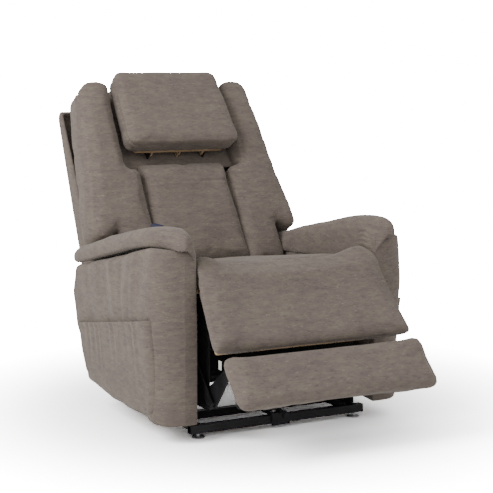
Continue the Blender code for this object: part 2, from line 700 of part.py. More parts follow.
def make_drive_frame():
    """Torque tube with a drive link at each end and the actuator's crank."""
    frame = cross_rod("legrest_drive_frame", "leg_drive", DRIVE_PIVOT, -DRIVE_NEAR - 0.001,
                      DRIVE_NEAR + 0.001, 0.0125, cutter=False)
    shapes = []
    for side, sign in (("left", 1), ("right", -1)):
        x_range = span(sign, DRIVE_NEAR, DRIVE_NEAR + PLATE)
        shapes.append(side_plate("drive_link_" + side, "leg_drive", None,
                                 link_outline(DRIVE_PIVOT, ELBOW, 0.0140), *x_range, cutter=True))
        shapes.append(cross_rod("elbow_pin_" + side, "leg_drive", ELBOW,
                                *span(sign, FOLD_NEAR - 0.0003, DRIVE_NEAR + 0.002), PIN_R))
    crank_x = LEG_ROD_X - 0.004 - 0.0015 - 0.006
    shapes.append(side_plate("crank", "leg_drive", None, link_outline(DRIVE_PIVOT, CRANK_PIN, 0.013),
                             crank_x, crank_x + 0.006, cutter=True))
    shapes.append(cross_rod("crank_pin", "leg_drive", CRANK_PIN, crank_x + 0.001,
                            LEG_ROD_X + 0.007, 0.005))
    boolean(frame, "UNION", *shapes)
    sockets = [cross_rod("drive_socket_" + side, "leg_drive", DRIVE_PIVOT,
                         *span(sign, 0.2535, 0.2800), 0.0076) for side, sign in (("l", 1), ("r", -1))]
    studs = [cross_rod("drive_stub_" + side, "leg_drive", DRIVE_PIVOT, *span(sign, 0.25, 0.2700), 0.0125)
             for side, sign in (("l", 1), ("r", -1))]
    boolean(frame, "UNION", *studs)
    boolean(frame, "DIFFERENCE", *sockets)


def make_fold_and_cross_links(side, sign):
    corners = []
    for centre in (ELBOW, CROSS_PIN, FOLD_PIN):
        corners += circle_points(centre, 0.0135)
    fold = [(ELBOW, HOLE_R)]
    link = side_plate("fold_link_" + side, "leg_fold", "black_steel", convex_outline(corners),
                      *span(sign, FOLD_NEAR, FOLD_NEAR + PLATE), fold)
    pins = [cross_rod("fold_pin_" + side, "leg_fold", FOLD_PIN,
                      *span(sign, FOLD_NEAR + 0.001, DRIVE_NEAR + PLATE), PIN_R),
            cross_rod("cross_stud_" + side, "leg_fold", CROSS_PIN,
                      *span(sign, FOLD_NEAR + 0.001, CROSS_NEAR + PLATE - 0.0003), PIN_R)]
    boolean(link, "UNION", *pins)
    side_plate("cross_link_" + side, "leg_cross", "black_steel",
               link_outline(CROSS_PIVOT, CROSS_PIN, 0.0145), *span(sign, CROSS_NEAR, CROSS_NEAR + PLATE),
               [(CROSS_PIVOT, 0.0076), (CROSS_PIN, PIN_R + 0.0036)])


def convex_outline(points):
    """Outer boundary of a set of points, anticlockwise."""
    ordered = sorted(set(points))

    def half(sequence):
        chain = []
        for p in sequence:
            while len(chain) > 1 and turn_of(chain[-2], chain[-1], p) <= 0:
                chain.pop()
            chain.append(p)
        return chain[:-1]

    return half(ordered) + half(reversed(ordered))


def turn_of(a, b, c):
    return (b[0] - a[0]) * (c[1] - a[1]) - (b[1] - a[1]) * (c[0] - a[0])


def pad_slab(name, body, colour, frame, outline, near, far, cutter=False):
    """A slab parallel to a pad's face; the outline is (X, distance along the face)."""
    flipped = frame.along.z < 0
    flat = [(x, -s if flipped else s) for x, s in outline]
    mesh = flat_mesh([flat], far - near)
    return install(mesh, name, body, colour, frame.matrix((near + far) / 2), cutter)


def tapered(half_top, half_bottom, low, high, radius=0.030):
    """Outline of a pad whose half width changes from one end to the other."""
    corners = [(-half_top, low), (half_top, low), (half_bottom, high), (-half_bottom, high)]
    return rounded_outline(corners, radius, 3)


def lapped_pad(name, body, frame, half_top, half_bottom, low, high, inner_half):
    """A pad whose front layer is wider than the part that goes between the arms."""
    outline = tapered(half_top, half_bottom, low, high)
    pad = bevel(pad_slab(name, body, "fabric", frame, outline, 0.0, LIP), 0.012)
    narrow_top = min(inner_half, half_top)
    inner = tapered(narrow_top, inner_half, low + 0.012, high - 0.010, 0.015)
    rear = pad_slab(name + "_rear", body, None, frame, inner, LIP - 0.010, PAD_THICKNESS, True)
    boolean(pad, "UNION", rear)


def make_footrest():
    half_top, half_bottom = 0.326, 0.316
    lapped_pad("footrest_pad", "footrest", FOOT, half_top, half_bottom, 0.0, FOOTREST_LENGTH, 0.296)
    near = PAD_THICKNESS + GAP
    frame = pad_slab("footrest_frame", "footrest", "black_steel", FOOT,
                     tapered(0.290, 0.290, 0.020, 0.130, 0.010), near, near + 0.004)
    shapes = []
    for side, sign in (("left", 1), ("right", -1)):
        corners = [FOOT.at(0.016, near + 0.002), FOOT.at(0.070, near + 0.002),
                   FOOT.at(0.012, 0.128), FOOT.at(-0.012, 0.124), FOOT.at(-0.012, 0.106)]
        x_range = span(sign, DRIVE_NEAR, DRIVE_NEAR + PLATE)
        shapes.append(side_plate("footrest_ear_" + side, "footrest", None,
                                 rounded_outline(corners, 0.006), *x_range, cutter=True))
    boolean(frame, "UNION", *shapes)
    holes = [cross_rod("footrest_hole_" + side, "footrest", FOLD_PIN, *span(sign, 0.2600, 0.2750),
                       HOLE_R) for side, sign in (("left", 1), ("right", -1))]
    boolean(frame, "DIFFERENCE", *holes)


def make_leg_pad():
    lapped_pad("leg_pad", "leg_pad_body", LEG, 0.272, 0.320, 0.0, LEG_PAD_LENGTH, 0.296)
    near = PAD_THICKNESS + GAP
    board = pad_slab("leg_pad_board", "leg_pad_body", "plywood", LEG,
                     tapered(0.280, 0.288, 0.0, 0.240, 0.008), near, near + 0.011)
    hinge = cross_rod("leg_hinge_rod", "leg_pad_body", LEG_PIVOT, -ARM_INNER_X + 0.001,
                      ARM_INNER_X - 0.001, 0.0038)
    boolean(board, "UNION", hinge)


# ---- back and headrest -------------------------------------------------------------------------
YOKE_NEAR = 0.2930


def make_back():
    make_yoke()
    board_outline = rounded_outline([(-0.290, 0.030), (0.290, 0.030), (0.290, 0.560),
                                     (0.240, 0.640), (-0.240, 0.640), (-0.290, 0.560)], 0.02)
    pad_slab("back_board", "back", "plywood", BACK, board_outline, BOARD_DEPTH, BOARD_DEPTH + BOARD)
    make_shell()
    both_sides(make_bolster)
    centre = tapered(0.160, 0.160, 0.010, 0.360, 0.020)
    bevel(pad_slab("back_centre_pad", "back", "fabric", BACK, centre, 0.004, 0.096), 0.020, 3)
    top = rounded_outline([(-0.2130, 0.505), (0.2130, 0.505), (0.2130, 0.660), (0.150, 0.705),
                           (-0.150, 0.705), (-0.2130, 0.660)], 0.030)
    bevel(pad_slab("back_top_pad", "back", "fabric", BACK, top, 0.078, BOARD_DEPTH - GAP), 0.015, 3)


def make_yoke():
    """Torque tube on the back pivot with the side brackets and the actuator's lug."""
    yoke = cross_rod("recline_yoke", "back", BACK_PIVOT, -YOKE_NEAR - 0.001, YOKE_NEAR + 0.001, 0.0125,
                     cutter=False)
    shapes = []
    y, z = BACK_PIVOT
    for side, sign in (("left", 1), ("right", -1)):
        corners = [(y - 0.016, z - 0.016), (y + 0.016, z - 0.016), BACK.at(0.030, 0.158),
                   BACK.at(0.200, 0.157), BACK.at(0.200, 0.143), BACK.at(0.100, 0.1400),
                   BACK.at(0.040, 0.132)]
        shapes.append(side_plate("yoke_arm_" + side, "back", None, rounded_outline(corners, 0.012),
                                 *span(sign, YOKE_NEAR, YOKE_NEAR + PLATE), cutter=True))
        shapes.append(cross_rod("yoke_pin_" + side, "back", BACK_PIVOT,
                                *span(sign, YOKE_NEAR + 0.002, ARM_INNER_X - 0.001), PIN_R))
    lug_x = RECLINE_ROD_X + 0.004 + 0.0015
    shapes.append(side_plate("lug", "back", None, link_outline(BACK_PIVOT, RECLINE_PIN, 0.013),
                             lug_x, lug_x + 0.006, cutter=True))
    shapes.append(cross_rod("lug_pin", "back", RECLINE_PIN, RECLINE_ROD_X - 0.007, lug_x + 0.005, 0.005))
    boolean(yoke, "UNION", *shapes)


def make_shell():
    """Upholstered outer back: an open tray, deeper at its foot, that closes the back from behind."""
    near = BOARD_DEPTH + BOARD + 0.004
    corners = [BACK.at(0.035, near), BACK.at(0.045, 0.282), BACK.at(0.668, 0.198), BACK.at(0.680, near)]
    shell = side_plate("back_shell", "back", "fabric", rounded_outline(corners, 0.020), -0.335, 0.335)
    bevel(shell, 0.012)
    hollow = [BACK.at(0.049, near - 0.020), BACK.at(0.057, 0.268), BACK.at(0.656, 0.187),
              BACK.at(0.666, near - 0.020)]
    space = side_plate("shell_space", "back", None, hollow, -0.323, 0.323, cutter=True)
    boolean(shell, "DIFFERENCE", space)


def make_bolster(side, sign):
    """Side cushion: narrow between the arms, a wing above them, recessed beside the headrest."""
    outline = [(0.166, 0.0), (0.290, 0.0), (0.290, 0.152), (0.361, 0.156), (0.356, 0.260),
               (0.330, 0.554), (0.305, 0.670), (0.264, 0.700), (0.217, 0.700), (0.217, 0.365),
               (0.166, 0.365)]
    outline = [(sign * x, s) for x, s in outline]
    bolster = pad_slab("back_bolster_" + side, "back", "fabric", BACK, rounded_outline(outline, 0.022),
                       0.0, BOARD_DEPTH - GAP)
    bevel(bolster, 0.016, 2)


def make_headrest():
    outline = tapered(0.212, 0.200, 0.0, HEADREST_LENGTH, 0.040)
    bevel(pad_slab("headrest_pad", "headrest", "fabric", HEAD, outline, 0.0, HEADREST_THICKNESS), 0.022, 3)
    near = HEADREST_THICKNESS + GAP
    board = pad_slab("headrest_board", "headrest", "plywood", HEAD,
                     tapered(0.170, 0.160, 0.030, 0.290, 0.010), near, near + 0.010)
    lug_tip = HEAD_LUG
    shapes = [side_plate("headrest_hinge_%d" % i, "headrest", None,
                         rounded_outline([HEAD.at(0.032, near + 0.005), HEAD.at(0.070, near + 0.005),
                                          HEAD.at(0.052, 0.107), HEAD.at(0.028, 0.107)], 0.008),
                         x, x + 0.005, cutter=True) for i, x in enumerate((-0.100, 0.095))]
    shapes.append(side_plate("headrest_lug", "headrest", None, link_outline(HEAD_PIVOT, lug_tip, 0.010),
                             0.0055, 0.0105, cutter=True))
    shapes.append(side_plate("headrest_lug_root", "headrest", None,
                             rounded_outline([HEAD.at(0.030, near + 0.005), HEAD.at(0.080, near + 0.005),
                                              HEAD.at(0.050, 0.106), HEAD.at(0.030, 0.106)], 0.006),
                             0.0055, 0.0105, cutter=True))
    shapes.append(cross_rod("headrest_lug_pin", "headrest", lug_tip, -0.0055, 0.008, 0.004))
    boolean(board, "UNION", *shapes)
    holes = [cross_rod("headrest_hinge_hole_%d" % i, "headrest", HEAD_PIVOT, x - 0.002, x + 0.007, 0.0056)
             for i, x in enumerate((-0.100, 0.095))]
    boolean(board, "DIFFERENCE", *holes)
    make_headrest_bracket()
    make_headrest_actuator()


HEAD_LUG_REACH = 0.067
HEAD_LUG = (HEAD_PIVOT[0] + HEAD_LUG_REACH * back_in[0], HEAD_PIVOT[1] + HEAD_LUG_REACH * back_in[1])


def back_coordinates(point):
    offset = Vector((0.0, *point)) - BACK.origin
    return offset.dot(BACK.along), offset.dot(BACK.inward)


def make_headrest_bracket():
    """Two ears on a base plate, screwed to the back board, that hold the headrest's hinge pins."""
    up, depth = back_coordinates(HEAD_PIVOT)
    face = BOARD_DEPTH - GAP
    base_outline = rounded_outline([(-0.125, up - 0.040), (0.125, up - 0.040), (0.125, up + 0.040),
                                    (-0.125, up + 0.040)], 0.008)
    bracket = pad_slab("headrest_bracket", "back", "black_steel", BACK, base_outline, face - 0.004, face)
    shapes = []
    for i, (x, pin_low, pin_high) in enumerate(((-0.108, -0.105, -0.094), (0.103, 0.094, 0.105))):
        corners = [BACK.at(up - 0.030, face - 0.002), BACK.at(up + 0.030, face - 0.002),
                   BACK.at(up + 0.010, depth - 0.010), BACK.at(up - 0.010, depth - 0.010)]
        shapes.append(side_plate("bracket_cheek_%d" % i, "back", None, rounded_outline(corners, 0.008),
                                 x, x + 0.005, cutter=True))
        shapes.append(cross_rod("bracket_stud_%d" % i, "back", HEAD_PIVOT, pin_low, pin_high, 0.005))
    boolean(bracket, "UNION", *shapes)


def make_headrest_actuator():
    """Slim actuator behind the centre pad; its rod pushes the headrest's lug up."""
    up, depth = back_coordinates(HEAD_LUG)
    start, end = BACK.at(0.090, depth + 0.006), BACK.at(0.300, depth + 0.006)
    housing = rod("headrest_actuator_housing", "back", "black_plastic", (0.0, *start), (0.0, *end),
                  0.0145, sides=16)
    bore = rod("headrest_bore", "back", None, (0.0, *BACK.at(0.150, depth + 0.006)),
               (0.0, *BACK.at(0.320, depth + 0.006)), 0.0068, cutter=True)
    boolean(housing, "DIFFERENCE", bore)
    rod_part = rod("headrest_actuator_rod", "headrest_rod", "bright_steel",
                   (0.0, *BACK.at(0.170, depth + 0.006)), (0.0, *BACK.at(up - 0.011, depth + 0.006)), 0.006)
    reach = 0.017
    tip = side_plate("headrest_rod_tip", "headrest_rod", None,
                     link_outline(BACK.at(up, depth - reach), BACK.at(up, depth + 0.003), 0.0115),
                     -0.004, 0.004, cutter=True)
    slot = side_plate("headrest_rod_slot", "headrest_rod", None,
                      link_outline(BACK.at(up, depth - reach), BACK.at(up, depth + 0.003), 0.0058),
                      -0.010, 0.010, cutter=True)
    boolean(rod_part, "UNION", tip)
    boolean(rod_part, "DIFFERENCE", slot)


def shade_round_parts():
    for obj in parts.objects:
        if obj.type == "MESH":
            obj.data.shade_smooth()
            obj.data.set_sharp_from_angle(angle=math.radians(35.0))


clear_scene()
parts = make_collection("lift_recliner_chair")
cutters = make_collection("cutters")
axes = make_bodies()
make_base()
make_lift_links()
make_lift_actuator()
make_carriage()
make_leg_rest()
make_back()
make_headrest()
shade_round_parts()
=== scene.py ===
"""Power lift recliner: upholstery, metalwork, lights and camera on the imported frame.

Side-view points are (y, z) pairs measured from the middle of the base's front tube, which the
frame gives, so that the numbers read the same as the drawing of the chair.
"""
import json
import math

import bmesh
import bpy
import numpy as np
from mathutils import Matrix, Vector


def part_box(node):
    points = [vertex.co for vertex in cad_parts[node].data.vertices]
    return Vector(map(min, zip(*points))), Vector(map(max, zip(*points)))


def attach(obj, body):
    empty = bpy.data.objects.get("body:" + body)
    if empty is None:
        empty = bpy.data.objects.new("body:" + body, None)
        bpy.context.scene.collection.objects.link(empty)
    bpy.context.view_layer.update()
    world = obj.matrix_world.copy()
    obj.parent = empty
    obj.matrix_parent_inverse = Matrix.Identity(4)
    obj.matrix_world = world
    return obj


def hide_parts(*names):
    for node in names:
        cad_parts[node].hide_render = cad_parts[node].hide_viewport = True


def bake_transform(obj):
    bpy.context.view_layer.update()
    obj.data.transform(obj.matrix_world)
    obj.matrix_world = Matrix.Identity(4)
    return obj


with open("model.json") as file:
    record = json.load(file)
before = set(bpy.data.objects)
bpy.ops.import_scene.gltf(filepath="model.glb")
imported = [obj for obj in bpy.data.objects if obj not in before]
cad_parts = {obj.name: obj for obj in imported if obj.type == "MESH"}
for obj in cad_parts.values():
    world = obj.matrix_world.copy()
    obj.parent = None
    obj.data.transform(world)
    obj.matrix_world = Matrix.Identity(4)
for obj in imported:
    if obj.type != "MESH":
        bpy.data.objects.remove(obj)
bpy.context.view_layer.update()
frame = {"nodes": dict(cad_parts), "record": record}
NODES = frame["nodes"]

tube_low, tube_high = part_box("base_front_tube")
Y0 = (tube_low.y + tube_high.y) / 2          # middle of the front tube: y = 0 in side views


# ---- side-view frames ---------------------------------------------------------------------------
class Face:
    """A leaning pad's own axes: x across, s along its face, t in from its face."""

    def __init__(self, origin, lean, hanging=False):
        a = math.radians(lean)
        self.origin = np.array([origin[0] + Y0, origin[1]])
        self.along = np.array([math.sin(a), math.cos(a)]) * (-1 if hanging else 1)
        self.inward = np.array([math.cos(a), -math.sin(a)])

    def local(self, co):
        d = co[:, 1:3] - self.origin
        return co[:, 0].copy(), d @ self.along, d @ self.inward

    def world(self, x, s, t):
        yz = self.origin + np.outer(s, self.along) + np.outer(t, self.inward)
        return np.column_stack([x, yz])

    def at(self, s, t):
        p = self.origin + self.along * s + self.inward * t
        return (p[0] - Y0, p[1])


BACK = Face((0.467, 0.450), 30.0)
HEAD = Face((0.622, 0.837), 37.4)
LEG = Face((-0.071, 0.522), 35.65, hanging=True)
FOOT = Face((-0.281, 0.300), 31.0, hanging=True)


# ---- sizes of the soft parts, in metres ---------------------------------------------------------
# Mesh size and rounds of smoothing for each soft piece, before it is subdivided.
MESH = {"bolster": (0.0065, 9), "centre": (0.0060, 4), "well": (0.004, 1), "top": (0.0065, 6),
        "headrest": (0.0055, 3), "shell": (0.0060, 6), "seat": (0.007, 4), "leg": (0.0065, 4),
        "footrest": (0.0062, 4), "arm": (0.0065, 5), "arm_pad": (0.0050, 3), "sleeve": (0.0016, 2)}
# Air pressure inside each pad while it is inflated, and the furthest any point may move.
PLUMP = {"bolster": (3.0, 0.007), "centre": (3.0, 0.006), "top": (3.0, 0.006), "headrest": (4.0, 0.006),
         "seat": (3.0, 0.007), "leg": (3.0, 0.006), "footrest": (3.5, 0.007)}
# Height, size and random start of each cover's unevenness.
UNEVEN = {"bolster": (0.0018, 0.16), "centre": (0.0016, 0.14, 5), "headrest": (0.0014, 0.13, 3),
          "shell": (0.0016, 0.20, 8), "seat": (0.0020, 0.15, 21), "leg": (0.0022, 0.17, 41),
          "footrest": (0.0016, 0.14, 61), "arm": (0.0016, 0.13, 71), "pad_top": (0.0018, 0.11, 31),
          "pad_side": (0.0018, 0.09, 33)}

SMOOTHING_LOSS = 0.0015         # what smoothing takes off a bolster's surface
CORNER_RISE = 0.020             # a bolster's upper outer corner stands this much above the frame's
WING_DROP = 0.034               # and its lower outer corner hangs this much lower
WING_SPREAD = 0.012
TUCK_IN = 0.016                 # a bolster's back edge closes in behind the headrest
CENTRE_HALF = 0.1595
CENTRE_FLARE = 0.09             # the centre panel widens by this share toward its bottom
WELL_HALF = 0.214
TOP_RISE = 0.026
HEAD_BOTTOM, HEAD_TOP = 0.013, 0.322
HEAD_CAD_LENGTH = 0.316
SHELL_WIDEN = 1.024
LEG_HALF = 0.29
LEG_BACK_TAPER = 0.15           # the leg pad narrows by this share toward its back
EAR_AT, EAR_WIDTH, EAR_RISE = 0.274, 0.060, 0.026
FOOT_WIDEN, FOOT_BOTTOM_WIDEN, FOOT_BACK_TAPER = 1.040, 0.020, 0.15
FOOT_LENGTHEN, FOOT_START = 1.06, -0.004
PAD_TIP_DROOP = 0.052           # an arm pad's inner front tip hangs this much lower
PAD_INNERMOST = 0.2935
GATHER_STEP, GATHER_DEPTH = 0.0165, 0.0026


# ---- numbers ------------------------------------------------------------------------------------
RIPPLE_WAVES = 14
FAR_AWAY = 9.0


def step01(v, low, high):
    t = np.clip((v - low) / (high - low), 0.0, 1.0)
    return t * t * (3 - 2 * t)


def bump(v, centre, width):
    return np.exp(-((v - centre) / width) ** 2)


def ripple(co, size, seed):
    """Smooth random relief of about -1 to 1 with features of the given size."""
    rng = np.random.default_rng(seed)
    total = np.zeros(len(co))
    for _ in range(RIPPLE_WAVES):
        k = rng.normal(size=3)
        k = k / np.linalg.norm(k) * 2 * math.pi / (size * rng.uniform(0.7, 1.6))
        total += np.sin(co @ k + rng.uniform(0, 2 * math.pi))
    return total / math.sqrt(RIPPLE_WAVES)


def uneven(co, piece):
    height, size, seed = UNEVEN[piece]
    return height * ripple(co, size, seed)


def line_distance(points, line):
    """Distance of each point to a polyline, and how far along it the nearest place is (0 to 1)."""
    line = np.array(line, float)
    best = np.full(len(points), FAR_AWAY)
    share = np.zeros(len(points))
    lengths = np.linalg.norm(np.diff(line, axis=0), axis=1)
    done = 0.0
    for a, b, length in zip(line, line[1:], lengths):
        d = b - a
        u = np.clip(((points - a) @ d) / (d @ d), 0, 1)
        gap = np.linalg.norm(points - a - u[:, None] * d, axis=1)
        near = gap < best
        best[near] = gap[near]
        share[near] = ((done + u * length) / lengths.sum())[near]
        done += length
    return best, share


# ---- meshes -------------------------------------------------------------------------------------
def coordinates(obj):
    co = np.zeros(len(obj.data.vertices) * 3)
    obj.data.vertices.foreach_get("co", co)
    return co.reshape(-1, 3)


def normals(obj):
    no = np.zeros(len(obj.data.vertices) * 3)
    obj.data.vertex_normals.foreach_get("vector", no)
    return no.reshape(-1, 3)


def place(obj, co):
    obj.data.vertices.foreach_set("co", np.ascontiguousarray(co, dtype=np.float32).ravel())
    obj.data.update()


def new_object(name, mesh):
    obj = bpy.data.objects.new(name, mesh)
    bpy.context.scene.collection.objects.link(obj)
    return obj


def from_bmesh(name, bm):
    mesh = bpy.data.meshes.new(name)
    bmesh.ops.recalc_face_normals(bm, faces=bm.faces)
    bm.to_mesh(mesh)
    bm.free()
    return new_object(name, mesh)


def loft(name, sections):
    """Skin through rings of equal length, with both ends capped."""
    bm = bmesh.new()
    rings = [[bm.verts.new(p) for p in ring] for ring in sections]
    for a, b in zip(rings, rings[1:]):
        for i in range(len(a)):
            j = (i + 1) % len(a)
            bm.faces.new((a[i], a[j], b[j], b[i]))
    bm.faces.new(rings[0][::-1])
    bm.faces.new(rings[-1])
    return from_bmesh(name, bm)


def side_solid(name, outline, half_widths):
    """A side-view outline carried across the chair through the given x places."""
    return loft(name, [[(x, y + Y0, z) for y, z in outline] for x in half_widths])


def apply_modifiers(obj):
    bpy.context.view_layer.update()
    evaluated = obj.evaluated_get(bpy.context.evaluated_depsgraph_get())
    mesh = bpy.data.meshes.new_from_object(evaluated)
    mesh.name = obj.name
    obj.modifiers.clear()
    old = obj.data
    obj.data = mesh
    bpy.data.meshes.remove(old)
    return obj


def add_smoothing(obj, rounds):
    smooth = obj.modifiers.new("smooth", "SMOOTH")
    smooth.iterations = rounds
    smooth.factor = 0.5


def remesh(obj, piece):
    """Even out a piece's mesh and round its edges by the amount its row in MESH states."""
    voxel, rounds = MESH[piece]
    modifier = obj.modifiers.new("remesh", "REMESH")
    modifier.mode = "VOXEL"
    modifier.voxel_size = voxel
    add_smoothing(obj, rounds)
    return apply_modifiers(obj)


def relax(obj, rounds):
    add_smoothing(obj, rounds)
    return apply_modifiers(obj)


def grow(obj, amount):
    """Move a surface out along its own normals, which makes up for what smoothing takes off."""
    place(obj, coordinates(obj) + normals(obj) * amount)
    return obj


def copy_node(node, name):
    return new_object(name, NODES[node].data.copy())


SWELL_FRAMES = 20
SWELL_RELAX = 3


def swell(obj, piece):
    """Inflate a closed pad as cloth, and cap how far any point may travel."""
    pressure, cap = PLUMP[piece]
    before = coordinates(obj)
    cloth = obj.modifiers.new("cloth", "CLOTH")
    settings = cloth.settings
    settings.quality = 5
    settings.mass = 0.3
    settings.tension_stiffness = 15
    settings.compression_stiffness = 15
    settings.shear_stiffness = 5
    settings.bending_stiffness = 0.5
    settings.use_pressure = True
    settings.uniform_pressure_force = pressure
    settings.effector_weights.gravity = 0.0
    cloth.collision_settings.use_collision = False
    scene = bpy.context.scene
    cloth.point_cache.frame_start = 1
    cloth.point_cache.frame_end = SWELL_FRAMES
    for f in range(1, SWELL_FRAMES + 1):
        scene.frame_set(f)
    bpy.context.view_layer.update()
    after = np.array([v.co for v in obj.evaluated_get(
        bpy.context.evaluated_depsgraph_get()).data.vertices]).reshape(-1, 3)
    obj.modifiers.clear()
    scene.frame_set(1)
    move = after - before
    far = np.linalg.norm(move, axis=1, keepdims=True)
    move *= np.minimum(1.0, cap / np.maximum(far, 1e-9))
    place(obj, before + move)
    return relax(obj, SWELL_RELAX)


def crease(obj, line, width, depth, lips=0.35):
    """Press a sewn line into a surface, with a slight roll on each side of it."""
    co = coordinates(obj)
    gap, _ = line_distance(co, line)
    drop = -depth * np.exp(-(gap / width) ** 2) + lips * depth * np.exp(-((gap - 2.2 * width) / width) ** 2)
    place(obj, co + normals(obj) * drop[:, None])
    return obj


def wrinkle(obj, lines, depth, width):
    """Several short folds: each line is a fold's crest, fading at its ends."""
    co = coordinates(obj)
    total = np.zeros(len(co))
    for line in lines:
        gap, share = line_distance(co, line)
        total += np.exp(-(gap / width) ** 2) * np.sin(np.pi * np.clip(share, 0, 1)) ** 0.7 * depth
    place(obj, co + normals(obj) * total[:, None])
    return obj


def finish_soft(obj, body, nodes, material, levels=1, ride=True):
    if levels:
        modifier = obj.modifiers.new("fine", "SUBSURF")
        modifier.levels = levels
        modifier.render_levels = levels
        apply_modifiers(obj)
    obj.data.materials.clear()
    obj.data.materials.append(material)
    obj.data.shade_smooth()
    if nodes:
        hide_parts(*nodes)
    if ride:
        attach(obj, body)
    return obj


# ---- materials ----------------------------------------------------------------------------------
class Nodes:
    """Short names for building one material's node tree."""

    def __init__(self, name):
        self.material = bpy.data.materials.new(name)
        self.material.use_nodes = True
        self.tree = self.material.node_tree
        self.shader = self.tree.nodes["Principled BSDF"]

    def add(self, kind, inputs=None, **settings):
        node = self.tree.nodes.new(kind)
        for key, value in settings.items():
            setattr(node, key, value)
        for key, value in (inputs or {}).items():
            self.put(node.inputs[key], value)
        return node

    def put(self, socket, value):
        if isinstance(value, bpy.types.NodeSocket):
            self.tree.links.new(value, socket)
        else:
            socket.default_value = value

    def place_of(self, scale=(1, 1, 1), turn=(0, 0, 0)):
        coordinates_node = self.add("ShaderNodeTexCoord")
        mapping = self.add("ShaderNodeMapping", {"Vector": coordinates_node.outputs["Object"],
                                                 "Scale": scale, "Rotation": turn})
        return mapping.outputs["Vector"]

    def noise(self, vector, scale, detail=2.0, rough=0.5):
        return self.add("ShaderNodeTexNoise", {"Vector": vector, "Scale": scale, "Detail": detail,
                                               "Roughness": rough}).outputs["Fac"]

    def ramp(self, value, stops):
        node = self.add("ShaderNodeValToRGB", {"Fac": value})
        elements = node.color_ramp.elements
        elements[0].position, elements[0].color = stops[0][0], stops[0][1]
        elements[1].position, elements[1].color = stops[-1][0], stops[-1][1]
        for position, colour in stops[1:-1]:
            elements.new(position).color = colour
        return node.outputs["Color"]

    def mix(self, factor, a, b, kind="MIX"):
        node = self.add("ShaderNodeMix", data_type="RGBA", blend_type=kind)
        self.put(node.inputs["Factor"], factor)
        self.put(node.inputs[6], a)
        self.put(node.inputs[7], b)
        return node.outputs[2]

    def math(self, operation, a, b=0.0):
        node = self.add("ShaderNodeMath", operation=operation)
        self.put(node.inputs[0], a)
        self.put(node.inputs[1], b)
        return node.outputs[0]

    def bump(self, height, strength, distance, normal=None):
        node = self.add("ShaderNodeBump", {"Height": height, "Strength": strength, "Distance": distance})
        if normal is not None:
            self.put(node.inputs["Normal"], normal)
        return node.outputs["Normal"]


def grey(v):
    return (v, v, v, 1.0)


def fabric_material(name):
    """Taupe chenille: short horizontal slubs, pale flecks, warm and cool cloudy patches."""
    n = Nodes(name)
    even = n.place_of()
    flat = n.place_of((1.0, 1.0, 3.4))
    cloud = n.noise(even, 9.0, 4.0, 0.6)
    base = n.ramp(cloud, [(0.30, (0.160, 0.129, 0.116, 1)),
                          (0.50, (0.178, 0.146, 0.126, 1)),
                          (0.70, (0.205, 0.172, 0.143, 1))])
    tint = n.ramp(n.noise(flat, 26.0, 3.0, 0.6), [(0.34, (0.128, 0.096, 0.094, 1)),
                                                  (0.5, (0.176, 0.144, 0.124, 1)),
                                                  (0.66, (0.215, 0.190, 0.148, 1))])
    colour = n.mix(0.45, base, tint)
    slub = n.noise(n.place_of((1.0, 1.0, 4.6)), 62.0, 2.0, 0.55)
    dark = n.ramp(slub, [(0.30, grey(0.76)), (0.44, grey(1.0))])
    colour = n.mix(1.0, colour, dark, "MULTIPLY")
    pale = n.ramp(n.noise(n.place_of((1.0, 1.0, 3.8), (0.2, 0.1, 0.5)), 88.0, 1.5, 0.5),
                  [(0.63, grey(0.0)), (0.74, grey(1.0))])
    colour = n.mix(n.math("MULTIPLY", pale, 0.42), colour, (0.36, 0.31, 0.24, 1))
    thread = n.noise(n.place_of((1.0, 1.0, 1.8)), 420.0, 2.0, 0.6)
    colour = n.mix(n.math("MULTIPLY", thread, 0.35), colour, (0.09, 0.07, 0.06, 1))
    n.put(n.shader.inputs["Base Color"], colour)
    n.put(n.shader.inputs["Roughness"], n.ramp(slub, [(0.3, grey(0.98)), (0.7, grey(0.86))]))
    n.shader.inputs["Sheen Weight"].default_value = 0.25
    n.shader.inputs["Sheen Roughness"].default_value = 0.45
    n.shader.inputs["Sheen Tint"].default_value = (0.80, 0.74, 0.68, 1.0)
    n.shader.inputs["Specular IOR Level"].default_value = 0.18
    fine = n.bump(thread, 0.35, 0.0008)
    n.put(n.shader.inputs["Normal"], n.bump(slub, 0.40, 0.0022, fine))
    return n.material


def steel_material(name):
    n = Nodes(name)
    grain = n.noise(n.place_of(), 260.0, 3.0, 0.6)
    patch = n.noise(n.place_of(), 14.0, 3.0, 0.5)
    n.put(n.shader.inputs["Base Color"], n.ramp(patch, [(0.35, (0.010, 0.010, 0.011, 1)),
                                                        (0.65, (0.020, 0.020, 0.022, 1))]))
    n.put(n.shader.inputs["Roughness"], n.ramp(patch, [(0.3, grey(0.34)), (0.7, grey(0.50))]))
    n.shader.inputs["Metallic"].default_value = 0.3
    n.put(n.shader.inputs["Normal"], n.bump(grain, 0.12, 0.0006))
    return n.material


def zinc_material(name):
    n = Nodes(name)
    brushed = n.noise(n.place_of((1.0, 1.0, 14.0)), 120.0, 3.0, 0.6)
    n.put(n.shader.inputs["Base Color"], n.ramp(brushed, [(0.3, (0.42, 0.42, 0.43, 1)),
                                                          (0.7, (0.66, 0.66, 0.67, 1))]))
    n.put(n.shader.inputs["Roughness"], n.ramp(brushed, [(0.3, grey(0.22)), (0.7, grey(0.38))]))
    n.shader.inputs["Metallic"].default_value = 1.0
    n.put(n.shader.inputs["Normal"], n.bump(brushed, 0.08, 0.0004))
    return n.material


